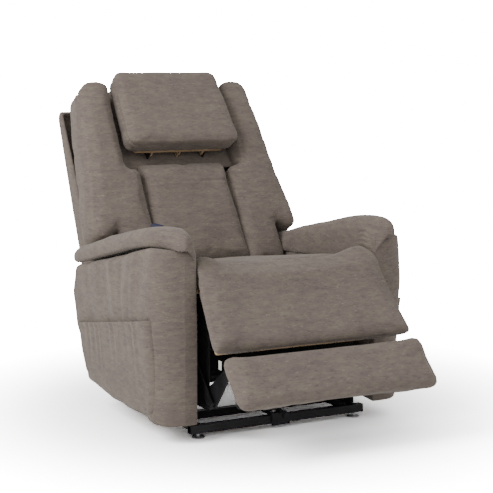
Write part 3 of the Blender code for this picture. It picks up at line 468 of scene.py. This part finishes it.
def plywood_material(name):
    n = Nodes(name)
    grain = n.noise(n.place_of((2.0, 22.0, 22.0)), 6.0, 5.0, 0.6)
    n.put(n.shader.inputs["Base Color"], n.ramp(grain, [(0.3, (0.34, 0.22, 0.12, 1)),
                                                        (0.7, (0.56, 0.41, 0.25, 1))]))
    n.shader.inputs["Roughness"].default_value = 0.75
    n.put(n.shader.inputs["Normal"], n.bump(grain, 0.2, 0.0008))
    return n.material


def plastic_material(name, colour, rough):
    n = Nodes(name)
    grain = n.noise(n.place_of(), 900.0, 2.0, 0.5)
    cloud = n.noise(n.place_of(), 30.0, 2.0, 0.5)
    dark = tuple(c * 0.82 for c in colour)
    n.put(n.shader.inputs["Base Color"], n.ramp(cloud, [(0.3, (*dark, 1)), (0.7, (*colour, 1))]))
    n.put(n.shader.inputs["Roughness"], n.ramp(cloud, [(0.3, grey(rough)), (0.7, grey(rough + 0.10))]))
    n.put(n.shader.inputs["Normal"], n.bump(grain, 0.15, 0.0003))
    return n.material


FABRIC = fabric_material("chenille")
# Near-black cloth for the linings: partly a dust lining, partly a painted shade that darkens the mechanism
# and the space under the seat.
SHADE_LINING = plastic_material("black_shade_lining_cloth", (0.012, 0.011, 0.011), 0.85)
STEEL = steel_material("black_powder_coat")
ZINC = zinc_material("zinc_plate")
PLYWOOD = plywood_material("plywood_grain")
PLASTIC = plastic_material("black_moulding", (0.022, 0.022, 0.024), 0.42)
BLUE = plastic_material("blue_moulding", (0.014, 0.016, 0.060), 0.42)
TAG = plastic_material("woven_tag", (0.62, 0.62, 0.56), 0.8)
BUTTON = plastic_material("button_moulding", (0.045, 0.047, 0.052), 0.45)

SLOT_MATERIAL = {"black_steel": STEEL, "bright_steel": ZINC, "plywood": PLYWOOD,
                 "black_plastic": PLASTIC, "handset_plastic": BLUE, "fabric": FABRIC}
for part in frame["record"]["subparts"]:
    mesh = NODES[part["node"]].data
    mesh.materials.clear()
    mesh.materials.append(SLOT_MATERIAL[part["material_slot"]])
for number in range(1, 5):
    NODES["hand_control_button_%d" % number].data.materials[0] = BUTTON


# ---- back ---------------------------------------------------------------------------------------
def make_bolster(side, sign):
    name = "bolster_" + side
    obj = remesh(copy_node("back_bolster_" + side, name), "bolster")
    grow(obj, SMOOTHING_LOSS)
    swell(obj, "bolster")
    co = coordinates(obj)
    x, s, t = BACK.local(co)
    u = x * sign
    high = step01(s, 0.56, 0.67)
    s = s + CORNER_RISE * step01(s, 0.60, 0.68) * step01(u, 0.23, 0.30)
    u = u + 0.007 * step01(u, 0.25, 0.31) + 0.004 * high * step01(u, 0.24, 0.30)
    s = s - WING_DROP * step01(u, 0.285, 0.335) * step01(-s, -0.26, -0.175)
    u = u + WING_SPREAD * step01(u, 0.29, 0.345) * step01(-s, -0.34, -0.20)
    u = u - TUCK_IN * step01(-u, -0.235, -0.215) * high * step01(t, 0.045, 0.085)
    middle = np.interp(s, [0.0, 0.24, 0.30, 0.55, 0.70], [0.230, 0.245, 0.262, 0.275, 0.245])
    reach = np.interp(s, [0.0, 0.24, 0.30, 0.55, 0.70], [0.075, 0.090, 0.100, 0.066, 0.036])
    front = step01(-t, -0.07, -0.01)
    crown = np.clip(1 - ((u - middle) / reach) ** 2, 0, 1) * step01(s, 0.0, 0.10) * step01(-s, -0.70, -0.58)
    t -= 0.008 * crown * front
    height, size = UNEVEN["bolster"]
    t -= front * height * ripple(np.column_stack([u * 1.6, s, t]), size, 11 + (sign > 0))
    place(obj, BACK.world(u * sign, s, t))
    corner = [BACK.world([sign * a], [b], [c])[0] for a, b, c in
              ((0.262, 0.668, 0.006), (0.292, 0.664, 0.012), (0.325, 0.650, 0.040))]
    crease(obj, corner, 0.006, 0.006)
    second = [BACK.world([sign * a], [b], [c])[0] for a, b, c in
              ((0.316, 0.668, 0.040), (0.300, 0.692, 0.070), (0.272, 0.705, 0.110))]
    crease(obj, second, 0.006, 0.006)
    return finish_soft(obj, "back", ["back_bolster_" + side], FABRIC)


def make_centre_pad():
    """Middle of the back; its top rolls back in under the headrest."""
    profile = [BACK.at(a, b) for a, b in
               ((0.012, 0.020), (0.030, 0.006), (0.120, 0.001), (0.240, 0.001), (0.340, 0.002),
                (0.366, 0.006), (0.384, 0.022), (0.394, 0.042), (0.402, 0.072), (0.392, 0.094),
                (0.300, 0.096), (0.100, 0.096), (0.015, 0.094))]
    obj = side_solid("back_centre", profile, [-CENTRE_HALF, -0.05, 0.05, CENTRE_HALF])
    remesh(obj, "centre")
    swell(obj, "centre")
    co = coordinates(obj)
    x, s, t = BACK.local(co)
    widen = 1 + CENTRE_FLARE * step01(-s, -0.34, -0.02)
    front = step01(-t, -0.05, -0.005)
    roll = np.clip((np.abs(x) - 0.130) / 0.030, 0, 1)
    t += front * 0.010 * roll ** 2
    t -= front * 0.005 * np.clip(1 - (x / 0.165) ** 2, 0, 1)
    t -= front * uneven(np.column_stack([x, s, t]), "centre")
    place(obj, BACK.world(x * widen, s, t))
    seam = [BACK.world([a], [0.305], [-0.004])[0] for a in (-0.17, -0.06, 0.06, 0.17)]
    crease(obj, seam, 0.0045, 0.0030)
    puckers = [[BACK.world([a], [b], [-0.004])[0] for b in (0.309, 0.334)]
               for a in (-0.034, -0.014, 0.006, 0.024)]
    wrinkle(obj, puckers, 0.0020, 0.0045)
    return finish_soft(obj, "back", ["back_centre_pad"], FABRIC)


def make_well():
    """Thin fabric panel behind the headrest, between the bolsters."""
    outline = [BACK.at(a, b) for a, b in ((0.380, 0.050), (0.420, 0.058), (0.520, 0.078), (0.520, 0.084),
                                          (0.420, 0.064), (0.380, 0.056))]
    obj = side_solid("headrest_well", outline, np.linspace(-WELL_HALF, WELL_HALF, 9))
    remesh(obj, "well")
    return finish_soft(obj, "back", [], FABRIC)


def make_top_pad():
    obj = remesh(copy_node("back_top_pad", "back_top"), "top")
    swell(obj, "top")
    x, s, t = BACK.local(coordinates(obj))
    place(obj, BACK.world(x, s + TOP_RISE * step01(s, 0.55, 0.64), t))
    return finish_soft(obj, "back", ["back_top_pad"], FABRIC)


def make_headrest():
    obj = remesh(copy_node("headrest_pad", "headrest_cushion"), "headrest")
    swell(obj, "headrest")
    co = coordinates(obj)
    x, s, t = HEAD.local(co)
    s = HEAD_BOTTOM + s * (HEAD_TOP - HEAD_BOTTOM) / HEAD_CAD_LENGTH
    s = s + 0.12 * np.clip(t - 0.004, 0, 0.085) * step01(-s, -0.12, -0.02)
    half = np.interp(s, [0.0, HEAD_CAD_LENGTH], [0.212, 0.200])
    inside = np.minimum(half - np.abs(x), np.minimum(s, HEAD_CAD_LENGTH - s))
    front = step01(-t, -0.045, -0.010)
    t -= front * 0.007 * np.sqrt(np.clip(1 - (1 - np.clip(inside / 0.09, 0, 1)) ** 2, 0, 1))
    t -= front * uneven(np.column_stack([x, s, t]), "headrest")
    place(obj, HEAD.world(x, s, t))
    rim = [HEAD.world([a], [b], [0.016])[0] for a, b in
           ((-0.175, 0.012), (0.175, 0.012), (0.208, 0.045), (0.202, 0.280), (0.170, 0.320), (-0.170, 0.320),
            (-0.202, 0.280), (-0.208, 0.045), (-0.175, 0.012))]
    crease(obj, rim, 0.0040, 0.0022, lips=0.8)
    return finish_soft(obj, "headrest", ["headrest_pad"], FABRIC)


def make_shell():
    obj = remesh(copy_node("back_shell", "back_shell_cover"), "shell")
    co = coordinates(obj)
    x, s, t = BACK.local(co)
    outside = step01(t, 0.15, 0.20)
    t += outside * uneven(np.column_stack([x, s, t]), "shell")
    place(obj, BACK.world(x * SHELL_WIDEN, s, t))
    return finish_soft(obj, "back", ["back_shell"], FABRIC)


# ---- seat and leg rest --------------------------------------------------------------------------
def make_seat():
    obj = remesh(copy_node("seat_cushion", "seat_pad"), "seat")
    swell(obj, "seat")
    co = coordinates(obj)
    y = co[:, 1] - Y0
    deck = np.interp(y, [0.012, 0.420], [0.446, 0.392])
    up = step01(co[:, 2] - deck, 0.03, 0.06)
    co[:, 2] += up * 0.010 * np.clip(1 - (co[:, 0] / 0.30) ** 2, 0, 1) * step01(y, 0.02, 0.12)
    co[:, 2] += up * uneven(co, "seat")
    place(obj, co)
    return finish_soft(obj, "carriage", ["seat_cushion"], FABRIC)


def make_chaise():
    """Leg pad whose cover rolls over the seat's front edge; it rides on no body."""
    outline = [(0.105, 0.484), (0.060, 0.500), (0.015, 0.513), (-0.030, 0.521), (-0.060, 0.522),
               (-0.084, 0.506), LEG.at(0.050, -0.001), LEG.at(0.150, -0.002), LEG.at(0.262, -0.004),
               LEG.at(0.274, 0.006), LEG.at(0.268, 0.022), LEG.at(0.234, 0.074), LEG.at(0.100, 0.074),
               LEG.at(0.020, 0.074), (-0.002, 0.458), (0.020, 0.452), (0.105, 0.443)]
    obj = side_solid("leg_pad_cover", outline, [-LEG_HALF, -0.1, 0.1, LEG_HALF])
    remesh(obj, "leg")
    swell(obj, "leg")
    co = coordinates(obj)
    x, s, t = LEG.local(co)
    half = np.interp(s, [-0.20, -0.05, 0.0, 0.08, 0.16, 0.23, 0.27],
                     [0.291, 0.292, 0.308, 0.322, 0.330, 0.338, 0.338])
    half = half * (1 - LEG_BACK_TAPER * step01(t, 0.012, 0.070) * step01(s, -0.02, 0.06))
    x = x / LEG_HALF * half
    ear = bump(np.abs(x), EAR_AT, EAR_WIDTH)
    y = co[:, 1] - Y0
    crest = bump(y, -0.015, 0.060) * step01(co[:, 2], 0.47, 0.52)
    front = step01(-t, -0.05, -0.012)
    dip = np.clip(1 - (x / 0.27) ** 2, 0, 1) * step01(s, 0.02, 0.10) * step01(-s, -0.26, -0.20)
    t += front * 0.004 * dip
    t -= front * 0.007 * bump(np.abs(x), 0.250, 0.050) * step01(-s, -0.16, 0.0)
    t -= 0.012 * step01(np.abs(x), 0.20, 0.33) * step01(s, 0.12, 0.26) * step01(-t, -0.07, 0.0)
    t -= front * uneven(np.column_stack([x, s, t]), "leg")
    co = LEG.world(x, s, t)
    co[:, 2] += crest * (EAR_RISE * ear - 0.002)
    place(obj, co)
    finish_soft(obj, None, ["leg_pad"], FABRIC, ride=False)
    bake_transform(obj)
    return obj


def make_footrest():
    obj = remesh(copy_node("footrest_pad", "footrest_cover"), "footrest")
    swell(obj, "footrest")
    co = coordinates(obj)
    x, s, t = FOOT.local(co)
    x = x * (FOOT_WIDEN + FOOT_BOTTOM_WIDEN * step01(s, 0.0, 0.14))
    x = x * (1 - FOOT_BACK_TAPER * step01(t, 0.014, 0.070))
    s = FOOT_START + s * FOOT_LENGTHEN
    s = s - 0.40 * np.clip(t - 0.012, 0, 0.07) * step01(s, 0.06, 0.16)
    front = step01(-t, -0.02, -0.004)
    t -= step01(s, -0.02, 0.17) * (0.012 + 0.020 * step01(-t, -0.05, 0.0))
    inside = np.minimum(0.32 - np.abs(x), np.minimum(s, 0.163 - s))
    t -= front * 0.006 * np.sqrt(np.clip(1 - (1 - np.clip(inside / 0.07, 0, 1)) ** 2, 0, 1))
    t -= front * uneven(np.column_stack([x, s, t]), "footrest")
    place(obj, FOOT.world(x, s, t))
    return finish_soft(obj, "footrest", ["footrest_pad"], FABRIC)


# ---- arms ---------------------------------------------------------------------------------------
ARM_INNER = 0.306
ARM_FLAT = 0.118                # thickness of the arm body in the frame
ARM_OUTLINE = [(-0.063, 0.054), (0.050, 0.062), (0.231, 0.066), (0.310, 0.068), (0.503, 0.092),
               (0.592, 0.262), (0.608, 0.376), (0.576, 0.466), (0.272, 0.526), (0.044, 0.578),
               (-0.062, 0.578)]


ARM_EDGE_ROUND = 0.024
ARM_FRONT = 0.352               # how far out the rounded front edge starts
BELLY = 0.017


def arm_outer(y, z):
    """How far out the arm's outer cover stands at a place on its side view."""
    points = np.column_stack([y, z])
    closed = ARM_OUTLINE[1:-1]
    edge, _ = line_distance(points, closed)
    roll = np.sqrt(np.clip(1 - (1 - np.clip(edge / ARM_EDGE_ROUND, 0, 1)) ** 2, 0, 1))
    belly = BELLY * bump(z, 0.42, 0.16) + 0.005 * bump(y, 0.30, 0.25)
    full = ARM_INNER + ARM_FLAT * (0.88 + 0.12 * roll) + belly * roll
    nose = np.clip((y + 0.060) / 0.070, 0, 1)
    front = ARM_FRONT + (full - ARM_FRONT) * np.sqrt(np.clip(1 - (1 - nose) ** 2, 0, 1))
    return np.minimum(full, front)


def arm_folds(y, z):
    """Soft vertical drapes of the outer cover, deepest under the arm pad."""
    fall = step01(z, 0.30, 0.50) * step01(y, 0.0, 0.08) * step01(-y, -0.56, -0.46)
    lines = ((0.255, 0.20, 0.016, 0.0040), (0.300, 0.16, 0.020, -0.0035), (0.150, -0.10, 0.018, 0.0032),
             (0.190, 0.05, 0.014, -0.0030), (0.380, 0.22, 0.022, 0.0036), (0.060, -0.15, 0.020, -0.0030),
             (0.450, 0.25, 0.022, -0.0030), (0.105, -0.05, 0.012, 0.0025))
    total = np.zeros(len(y))
    for place_y, slant, width, depth in lines:
        total += depth * bump(y - slant * (z - 0.45), place_y, width)
    return total * (0.35 + 0.65 * fall)


def make_arm_body(side, sign):
    name = "arm_cover_" + side
    obj = side_solid(name, ARM_OUTLINE, [ARM_INNER + 0.0005, ARM_INNER + ARM_FLAT])
    remesh(obj, "arm")
    co = coordinates(obj)
    y, z = co[:, 1] - Y0, co[:, 2]
    share = np.clip((co[:, 0] - ARM_INNER) / ARM_FLAT, 0, 1)
    outer = arm_outer(y, z)
    co[:, 0] = ARM_INNER + share * (outer - ARM_INNER)
    facing = step01(share, 0.6, 0.95)
    co[:, 0] += facing * arm_folds(y, z)
    co[:, 0] += facing * uneven(np.column_stack([y, y, z]), "arm")
    front = step01(-y, 0.02, 0.055)
    co[:, 1] -= front * 0.004 * np.clip(1 - ((co[:, 0] - 0.335) / 0.05) ** 2, 0, 1) * bump(z, 0.33, 0.22)
    co[:, 0] *= sign
    place(obj, co)
    if sign < 0:
        obj.data.flip_normals()
    seam_y = [(-0.004, 0.372), (-0.010, 0.300), (-0.008, 0.200), (0.000, 0.085)]
    seam = [(sign * float(arm_outer(np.array([a]), np.array([b]))[0]), a + Y0, b) for a, b in seam_y]
    crease(obj, seam, 0.0045, 0.0050)
    return finish_soft(obj, "carriage", ["side_panel_" + side], FABRIC)


PAD_STATIONS = [
    # y, top, outer lip underside, inner flap bottom, outer edge
    (-0.098, 0.604, 0.586, 0.566, 0.358), (-0.092, 0.618, 0.576, 0.545, 0.364),
    (-0.078, 0.628, 0.573, 0.530, 0.371), (-0.050, 0.634, 0.575, 0.512, 0.382),
    (-0.010, 0.637, 0.579, 0.502, 0.399), (0.044, 0.637, 0.578, 0.496, 0.420),
    (0.100, 0.631, 0.570, 0.494, 0.433), (0.150, 0.623, 0.561, 0.490, 0.438),
    (0.200, 0.611, 0.550, 0.486, 0.440), (0.272, 0.598, 0.533, 0.480, 0.440),
    (0.350, 0.584, 0.516, 0.476, 0.440), (0.430, 0.565, 0.498, 0.472, 0.440),
    (0.498, 0.547, 0.482, 0.470, 0.439), (0.560, 0.534, 0.470, 0.466, 0.436),
    (0.606, 0.522, 0.464, 0.462, 0.430), (0.628, 0.508, 0.466, 0.464, 0.420),
    (0.637, 0.490, 0.474, 0.472, 0.408)]


PAD_MIDDLE = 0.352              # where the pad's top turns down to its outer lip


def pad_section(y, top, lip, flap, outer):
    tall = top - lip
    reach = outer - PAD_MIDDLE

    def out(share):
        return PAD_MIDDLE + reach * share

    ring = [(0.3080, flap), (0.3010, flap + 0.004), (0.2975, flap + 0.35 * (top - 0.05 - flap)),
            (0.2975, top - 0.062), (0.3005, top - 0.036), (0.310, top - 0.016), (0.326, top - 0.004),
            (0.348, top), (out(0.25), top), (out(0.55), top - 0.05 * tall), (out(0.80), top - 0.18 * tall),
            (out(0.97), top - 0.42 * tall), (out(1.0), top - 0.66 * tall), (out(0.95), top - 0.90 * tall),
            (out(0.82), lip), (out(0.60), lip + 0.06 * tall), (out(0.10), lip + 0.08 * tall),
            (0.3200, lip - 0.02 * tall)]
    return [(x, y + Y0, z) for x, z in ring]


def make_arm_pad(side, sign):
    """Saddle pad: a roll over the arm's outer edge and a flap down its inner face, gathered in front."""
    name = "arm_pad_cover_" + side
    obj = loft(name, [pad_section(*station) for station in PAD_STATIONS])
    remesh(obj, "arm_pad")
    co = coordinates(obj)
    x, y, z = co[:, 0], co[:, 1] - Y0, co[:, 2]
    slant = np.interp(x, [0.297, 0.312, 0.335, 0.355], [0.056, 0.030, 0.006, 0.0])
    y = y + slant * step01(-y, -0.08, 0.09)
    top = np.interp(y, [s[0] for s in PAD_STATIONS], [s[1] for s in PAD_STATIONS])
    droop = step01(-x, -0.342, -0.300) * step01(-y, 0.0, 0.075)
    z = z - PAD_TIP_DROOP * droop * step01(z, 0.50, 0.60)
    inner = step01(-x, -0.318, -0.302)
    pucker = np.sin(z * 2 * math.pi / GATHER_STEP + 1.5 * ripple(np.column_stack([y, y, z]), 0.06, 7))
    gather = inner * bump(y, -0.012, 0.030) * step01(-(z - top), 0.012, 0.045)
    x = x - gather * GATHER_DEPTH * pucker
    crown = step01(z - top, -0.03, 0.0)
    z = z + crown * uneven(np.column_stack([x, y, z]), "pad_top")
    x = x - inner * (1 - gather) * uneven(np.column_stack([y, y, z]), "pad_side")
    x = np.maximum(x, PAD_INNERMOST)
    place(obj, np.column_stack([x * sign, y + Y0, z]))
    if sign < 0:
        obj.data.flip_normals()
    return finish_soft(obj, "carriage", ["arm_pad_" + side], FABRIC)


POCKET_BOTTOM = [(-0.014, 0.105), (0.012, 0.080), (0.150, 0.074), (0.300, 0.076), (0.440, 0.092),
                 (0.500, 0.120), (0.566, 0.252)]


POCKET_FRONT, POCKET_REAR = -0.016, 0.549
POCKET_TOP = [(-0.018, 0.372), (0.549, 0.277)]
GATHER_EVERY = 11.0             # columns of the pouch's mesh between two gathers
GATHER_HEIGHT = 0.0022
POUCH_CLOTH = 0.0030


def edge_loop(grid):
    """The points round a grid's four sides, in order."""
    return grid[0] + [r[-1] for r in grid[1:]] + grid[-1][-2::-1] + [r[0] for r in grid[-2:0:-1]]


def make_pocket(side, sign):
    """Pouch sewn on three sides; its top is gathered on elastic and stands a little open."""
    columns, rows = 150, 60
    ys = np.linspace(POCKET_FRONT, POCKET_REAR, columns)
    top = np.interp(ys, [p[0] for p in POCKET_TOP], [p[1] for p in POCKET_TOP])
    low = np.interp(ys, [p[0] for p in POCKET_BOTTOM], [p[1] for p in POCKET_BOTTOM])
    rng = np.random.default_rng(17)
    phases = np.cumsum(rng.uniform(0.3, 1.7, columns)) * 2 * math.pi / GATHER_EVERY
    strength = GATHER_HEIGHT * np.clip(np.interp(np.arange(columns), np.arange(0, columns, 6),
                                          rng.uniform(-0.3, 1.2, len(range(0, columns, 6)))), 0, 1)
    outer, inner = [], []
    for j in range(rows + 1):
        v = j / rows
        z = low + (top - low) * v
        side_fade = np.clip(np.minimum(ys - POCKET_FRONT, POCKET_REAR - ys) / 0.030, 0, 1)
        edge = np.sqrt(np.clip(1 - (1 - np.minimum(side_fade, np.clip(v / 0.12, 0, 1))) ** 2, 0, 1))
        gathers = np.sin(phases + 0.9 * v) * strength * step01(np.full(columns, v), 0.15, 1.0)
        hem = 0.0020 * math.exp(-((v - 0.97) / 0.02) ** 2) - 0.0018 * math.exp(-((v - 0.90) / 0.02) ** 2)
        base = arm_outer(ys, z)
        out = base - 0.0020 + edge * (0.0085 + 0.0065 * v + gathers + hem)
        outer.append(np.column_stack([out, ys + Y0, z]))
        inner.append(np.column_stack([out - POUCH_CLOTH * (0.3 + 0.7 * edge), ys + Y0, z]))
    bm = bmesh.new()
    grids = [[[bm.verts.new((sign * p[0], p[1], p[2])) for p in row] for row in sheet]
             for sheet in (outer, inner)]
    for k, grid in enumerate(grids):
        for a, b in zip(grid, grid[1:]):
            for i in range(columns - 1):
                face = (a[i], a[i + 1], b[i + 1], b[i])
                bm.faces.new(face if (k == 0) == (sign > 0) else face[::-1])
    border_out, border_in = (edge_loop(grid) for grid in grids)
    for i in range(len(border_out)):
        j = (i + 1) % len(border_out)
        bm.faces.new((border_out[i], border_in[i], border_in[j], border_out[j]))
    obj = from_bmesh("side_pouch_" + side, bm)
    return finish_soft(obj, "carriage", ["side_pocket_" + side], FABRIC, levels=0)


# ---- small pieces -------------------------------------------------------------------------------
RIVET_RADIUS, RIVET_HEIGHT = 0.008, 0.004
RIVET_RINGS, RIVET_SIDES = 5, 20
RIVET_TIP = 0.06                # the last ring's radius, as a share of the first


def rivet(name, body, x, point, sign):
    """Domed rivet head on the end of a pivot."""
    rings = []
    for k in range(RIVET_RINGS):
        a = math.pi / 2 * k / (RIVET_RINGS - 1)
        r, h = RIVET_RADIUS * math.cos(a), RIVET_HEIGHT * math.sin(a)
        r = max(r, RIVET_RADIUS * RIVET_TIP)
        rings.append([(x + sign * h, point[0] + Y0 + r * math.cos(b), point[1] + r * math.sin(b))
                      for b in (2 * math.pi * i / RIVET_SIDES for i in range(RIVET_SIDES))])
    obj = loft(name, rings)
    obj.data.materials.append(ZINC)
    obj.data.shade_smooth()
    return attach(obj, body)


def make_holder():
    obj = remesh(copy_node("hand_control_holder", "hand_control_sleeve"), "sleeve")
    obj.data.materials.clear()
    obj.data.materials.append(FABRIC)
    obj.data.shade_smooth()
    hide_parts("hand_control_holder")
    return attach(obj, "carriage")


PANEL_CUTS = 24
PANEL_WAVE = 0.12


def cloth_panel(name, body, low, high, material, wave, seed):
    """A hanging flat panel of cloth, slightly uneven."""
    bm = bmesh.new()
    bmesh.ops.create_cube(bm, size=1.0)
    size = [h - l for l, h in zip(low, high)]
    middle = [(h + l) / 2 for l, h in zip(low, high)]
    bmesh.ops.transform(bm, matrix=Matrix.LocRotScale(middle, None, size), verts=bm.verts)
    bmesh.ops.subdivide_edges(bm, edges=bm.edges, cuts=PANEL_CUTS, use_grid_fill=True)
    obj = from_bmesh(name, bm)
    co = coordinates(obj)
    thin = int(np.argmin(size))
    co[:, thin] += wave * ripple(co, PANEL_WAVE, seed)
    place(obj, co)
    obj.data.materials.append(material)
    obj.data.shade_smooth()
    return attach(obj, body)


SIDES = (("left", 1), ("right", -1))
# name, body, x of the link's outer face, y and z of the pivot
PIVOTS = (("fold_pin", "leg_fold", 0.2628, -0.1824, 0.2405),
          ("elbow", "leg_drive", 0.2693, -0.0413, 0.1400),
          ("drive_pivot", "leg_drive", 0.2693, 0.1657, 0.3600),
          ("cross_pivot", "leg_cross", 0.2798, 0.0857, 0.3050))


def make_linings():
    cloth_panel("seat_front_valance", "carriage", (-0.250, Y0 + 0.018, 0.287), (0.250, Y0 + 0.026, 0.4075),
                FABRIC, 0.0012, 3)
    # The mechanism linings and the rear lining are black sheets: partly dust linings, partly painted shade
    # put where the mechanism and the space under the seat lie in shade.
    for side, sign in SIDES:
        low_x, high_x = sorted((sign * 0.2500, sign * 0.2525))
        cloth_panel("mechanism_shade_lining_" + side, "carriage", (low_x, Y0 - 0.030, 0.085),
                    (high_x, Y0 + 0.345, 0.405), SHADE_LINING, 0.0008, 5)
    cloth_panel("rear_shade_lining", "carriage", (-0.2900, Y0 + 0.372, 0.090), (0.2900, Y0 + 0.3745, 0.405),
                SHADE_LINING, 0.0008, 6)
    cloth_panel("blank_tag", "footrest", (-0.3080, Y0 - 0.219, 0.250), (-0.3070, Y0 - 0.201, 0.276),
                TAG, 0.0006, 9)
    for side, sign in SIDES:
        for label, body, x, y, z in PIVOTS:
            rivet(label + "_rivet_" + side, body, sign * x, (y, z), sign)


for side, sign in SIDES:
    make_bolster(side, sign)
    make_arm_body(side, sign)
    make_arm_pad(side, sign)
    make_pocket(side, sign)
make_centre_pad()
make_well()
make_top_pad()
make_headrest()
make_shell()
make_seat()
make_chaise()
make_footrest()
make_holder()
make_linings()


# ---- floor, lights and camera -------------------------------------------------------------------
FLOOR_WHITE = 0.88
# To the camera the floor is painted darker near the chair and brighter far from it: a painted shade round
# the chair.
FLOOR_PAINTED_SHADE_BY_DISTANCE = (("From Min", 0.45), ("From Max", 1.9), ("To Min", 3.2), ("To Max", 30.0))
SKY_LIGHT, SKY_SEEN = 0.75, 40.0
CAMERA_PLACE = (-2.0887, -3.6793, 1.1026)      # y from the middle of the front tube
CAMERA_PITCH, CAMERA_TURN = 7.2943, -28.2685
SENSOR_MM = 36.0
LENS_MM = 1400.0 / 493.0 * SENSOR_MM
AIM = (0.0, 0.0, 0.5)


def make_stage():
    """White floor and backdrop, brighter to the camera than as light on the chair; to the camera the floor
    is painted darker near the chair, a painted shade round it.
    """
    bm = bmesh.new()
    bmesh.ops.create_grid(bm, x_segments=1, y_segments=1, size=40.0)
    floor = from_bmesh("studio_floor", bm)
    floor.location.z = -0.0005
    n = Nodes("floor_paper")
    seen = n.add("ShaderNodeLightPath").outputs["Is Camera Ray"]
    place_on_floor = n.add("ShaderNodeNewGeometry").outputs["Position"]
    away = n.add("ShaderNodeVectorMath", operation="LENGTH")
    n.put(away.inputs[0], place_on_floor)
    # Painted shade: the floor's brightness to the camera grows with distance from the chair.
    far = n.add("ShaderNodeMapRange", interpolation_type="SMOOTHSTEP")
    n.put(far.inputs["Value"], away.outputs["Value"])
    for socket, value in FLOOR_PAINTED_SHADE_BY_DISTANCE:
        far.inputs[socket].default_value = value
    n.put(n.shader.inputs["Base Color"], n.mix(seen, grey(FLOOR_WHITE), far.outputs["Result"]))
    n.shader.inputs["Roughness"].default_value = 1.0
    n.shader.inputs["Specular IOR Level"].default_value = 0.0
    floor.data.materials.append(n.material)
    world = bpy.data.worlds.new("studio")
    bpy.context.scene.world = world
    world.use_nodes = True
    tree = world.node_tree
    background = tree.nodes["Background"]
    path = tree.nodes.new("ShaderNodeLightPath")
    strength = tree.nodes.new("ShaderNodeMath")
    strength.operation = "MULTIPLY_ADD"
    tree.links.new(path.outputs["Is Camera Ray"], strength.inputs[0])
    strength.inputs[1].default_value = SKY_SEEN
    strength.inputs[2].default_value = SKY_LIGHT
    background.inputs["Color"].default_value = (1.0, 1.0, 1.0, 1.0)
    tree.links.new(strength.outputs[0], background.inputs["Strength"])


def area_light(name, location, size, power):
    data = bpy.data.lights.new(name, "AREA")
    data.shape = "RECTANGLE"
    data.size, data.size_y = size
    data.energy = power
    light = bpy.data.objects.new(name, data)
    light.location = location
    aim = Vector(AIM) - Vector(location)
    light.rotation_euler = aim.to_track_quat("-Z", "Y").to_euler()
    bpy.context.scene.collection.objects.link(light)


def make_camera():
    data = bpy.data.cameras.new("camera")
    data.sensor_width = SENSOR_MM
    data.lens = LENS_MM
    camera = bpy.data.objects.new("camera", data)
    camera.location = (CAMERA_PLACE[0], Y0 + CAMERA_PLACE[1], CAMERA_PLACE[2])
    camera.rotation_euler = (math.radians(90 - CAMERA_PITCH), 0.0, math.radians(CAMERA_TURN))
    bpy.context.scene.collection.objects.link(camera)
    bpy.context.scene.camera = camera


make_stage()
area_light("key", (-3.4, -0.6, 3.0), (2.0, 2.0), 130.0)
area_light("fill", (-0.6, -4.2, 3.0), (2.5, 2.5), 30.0)
make_camera()
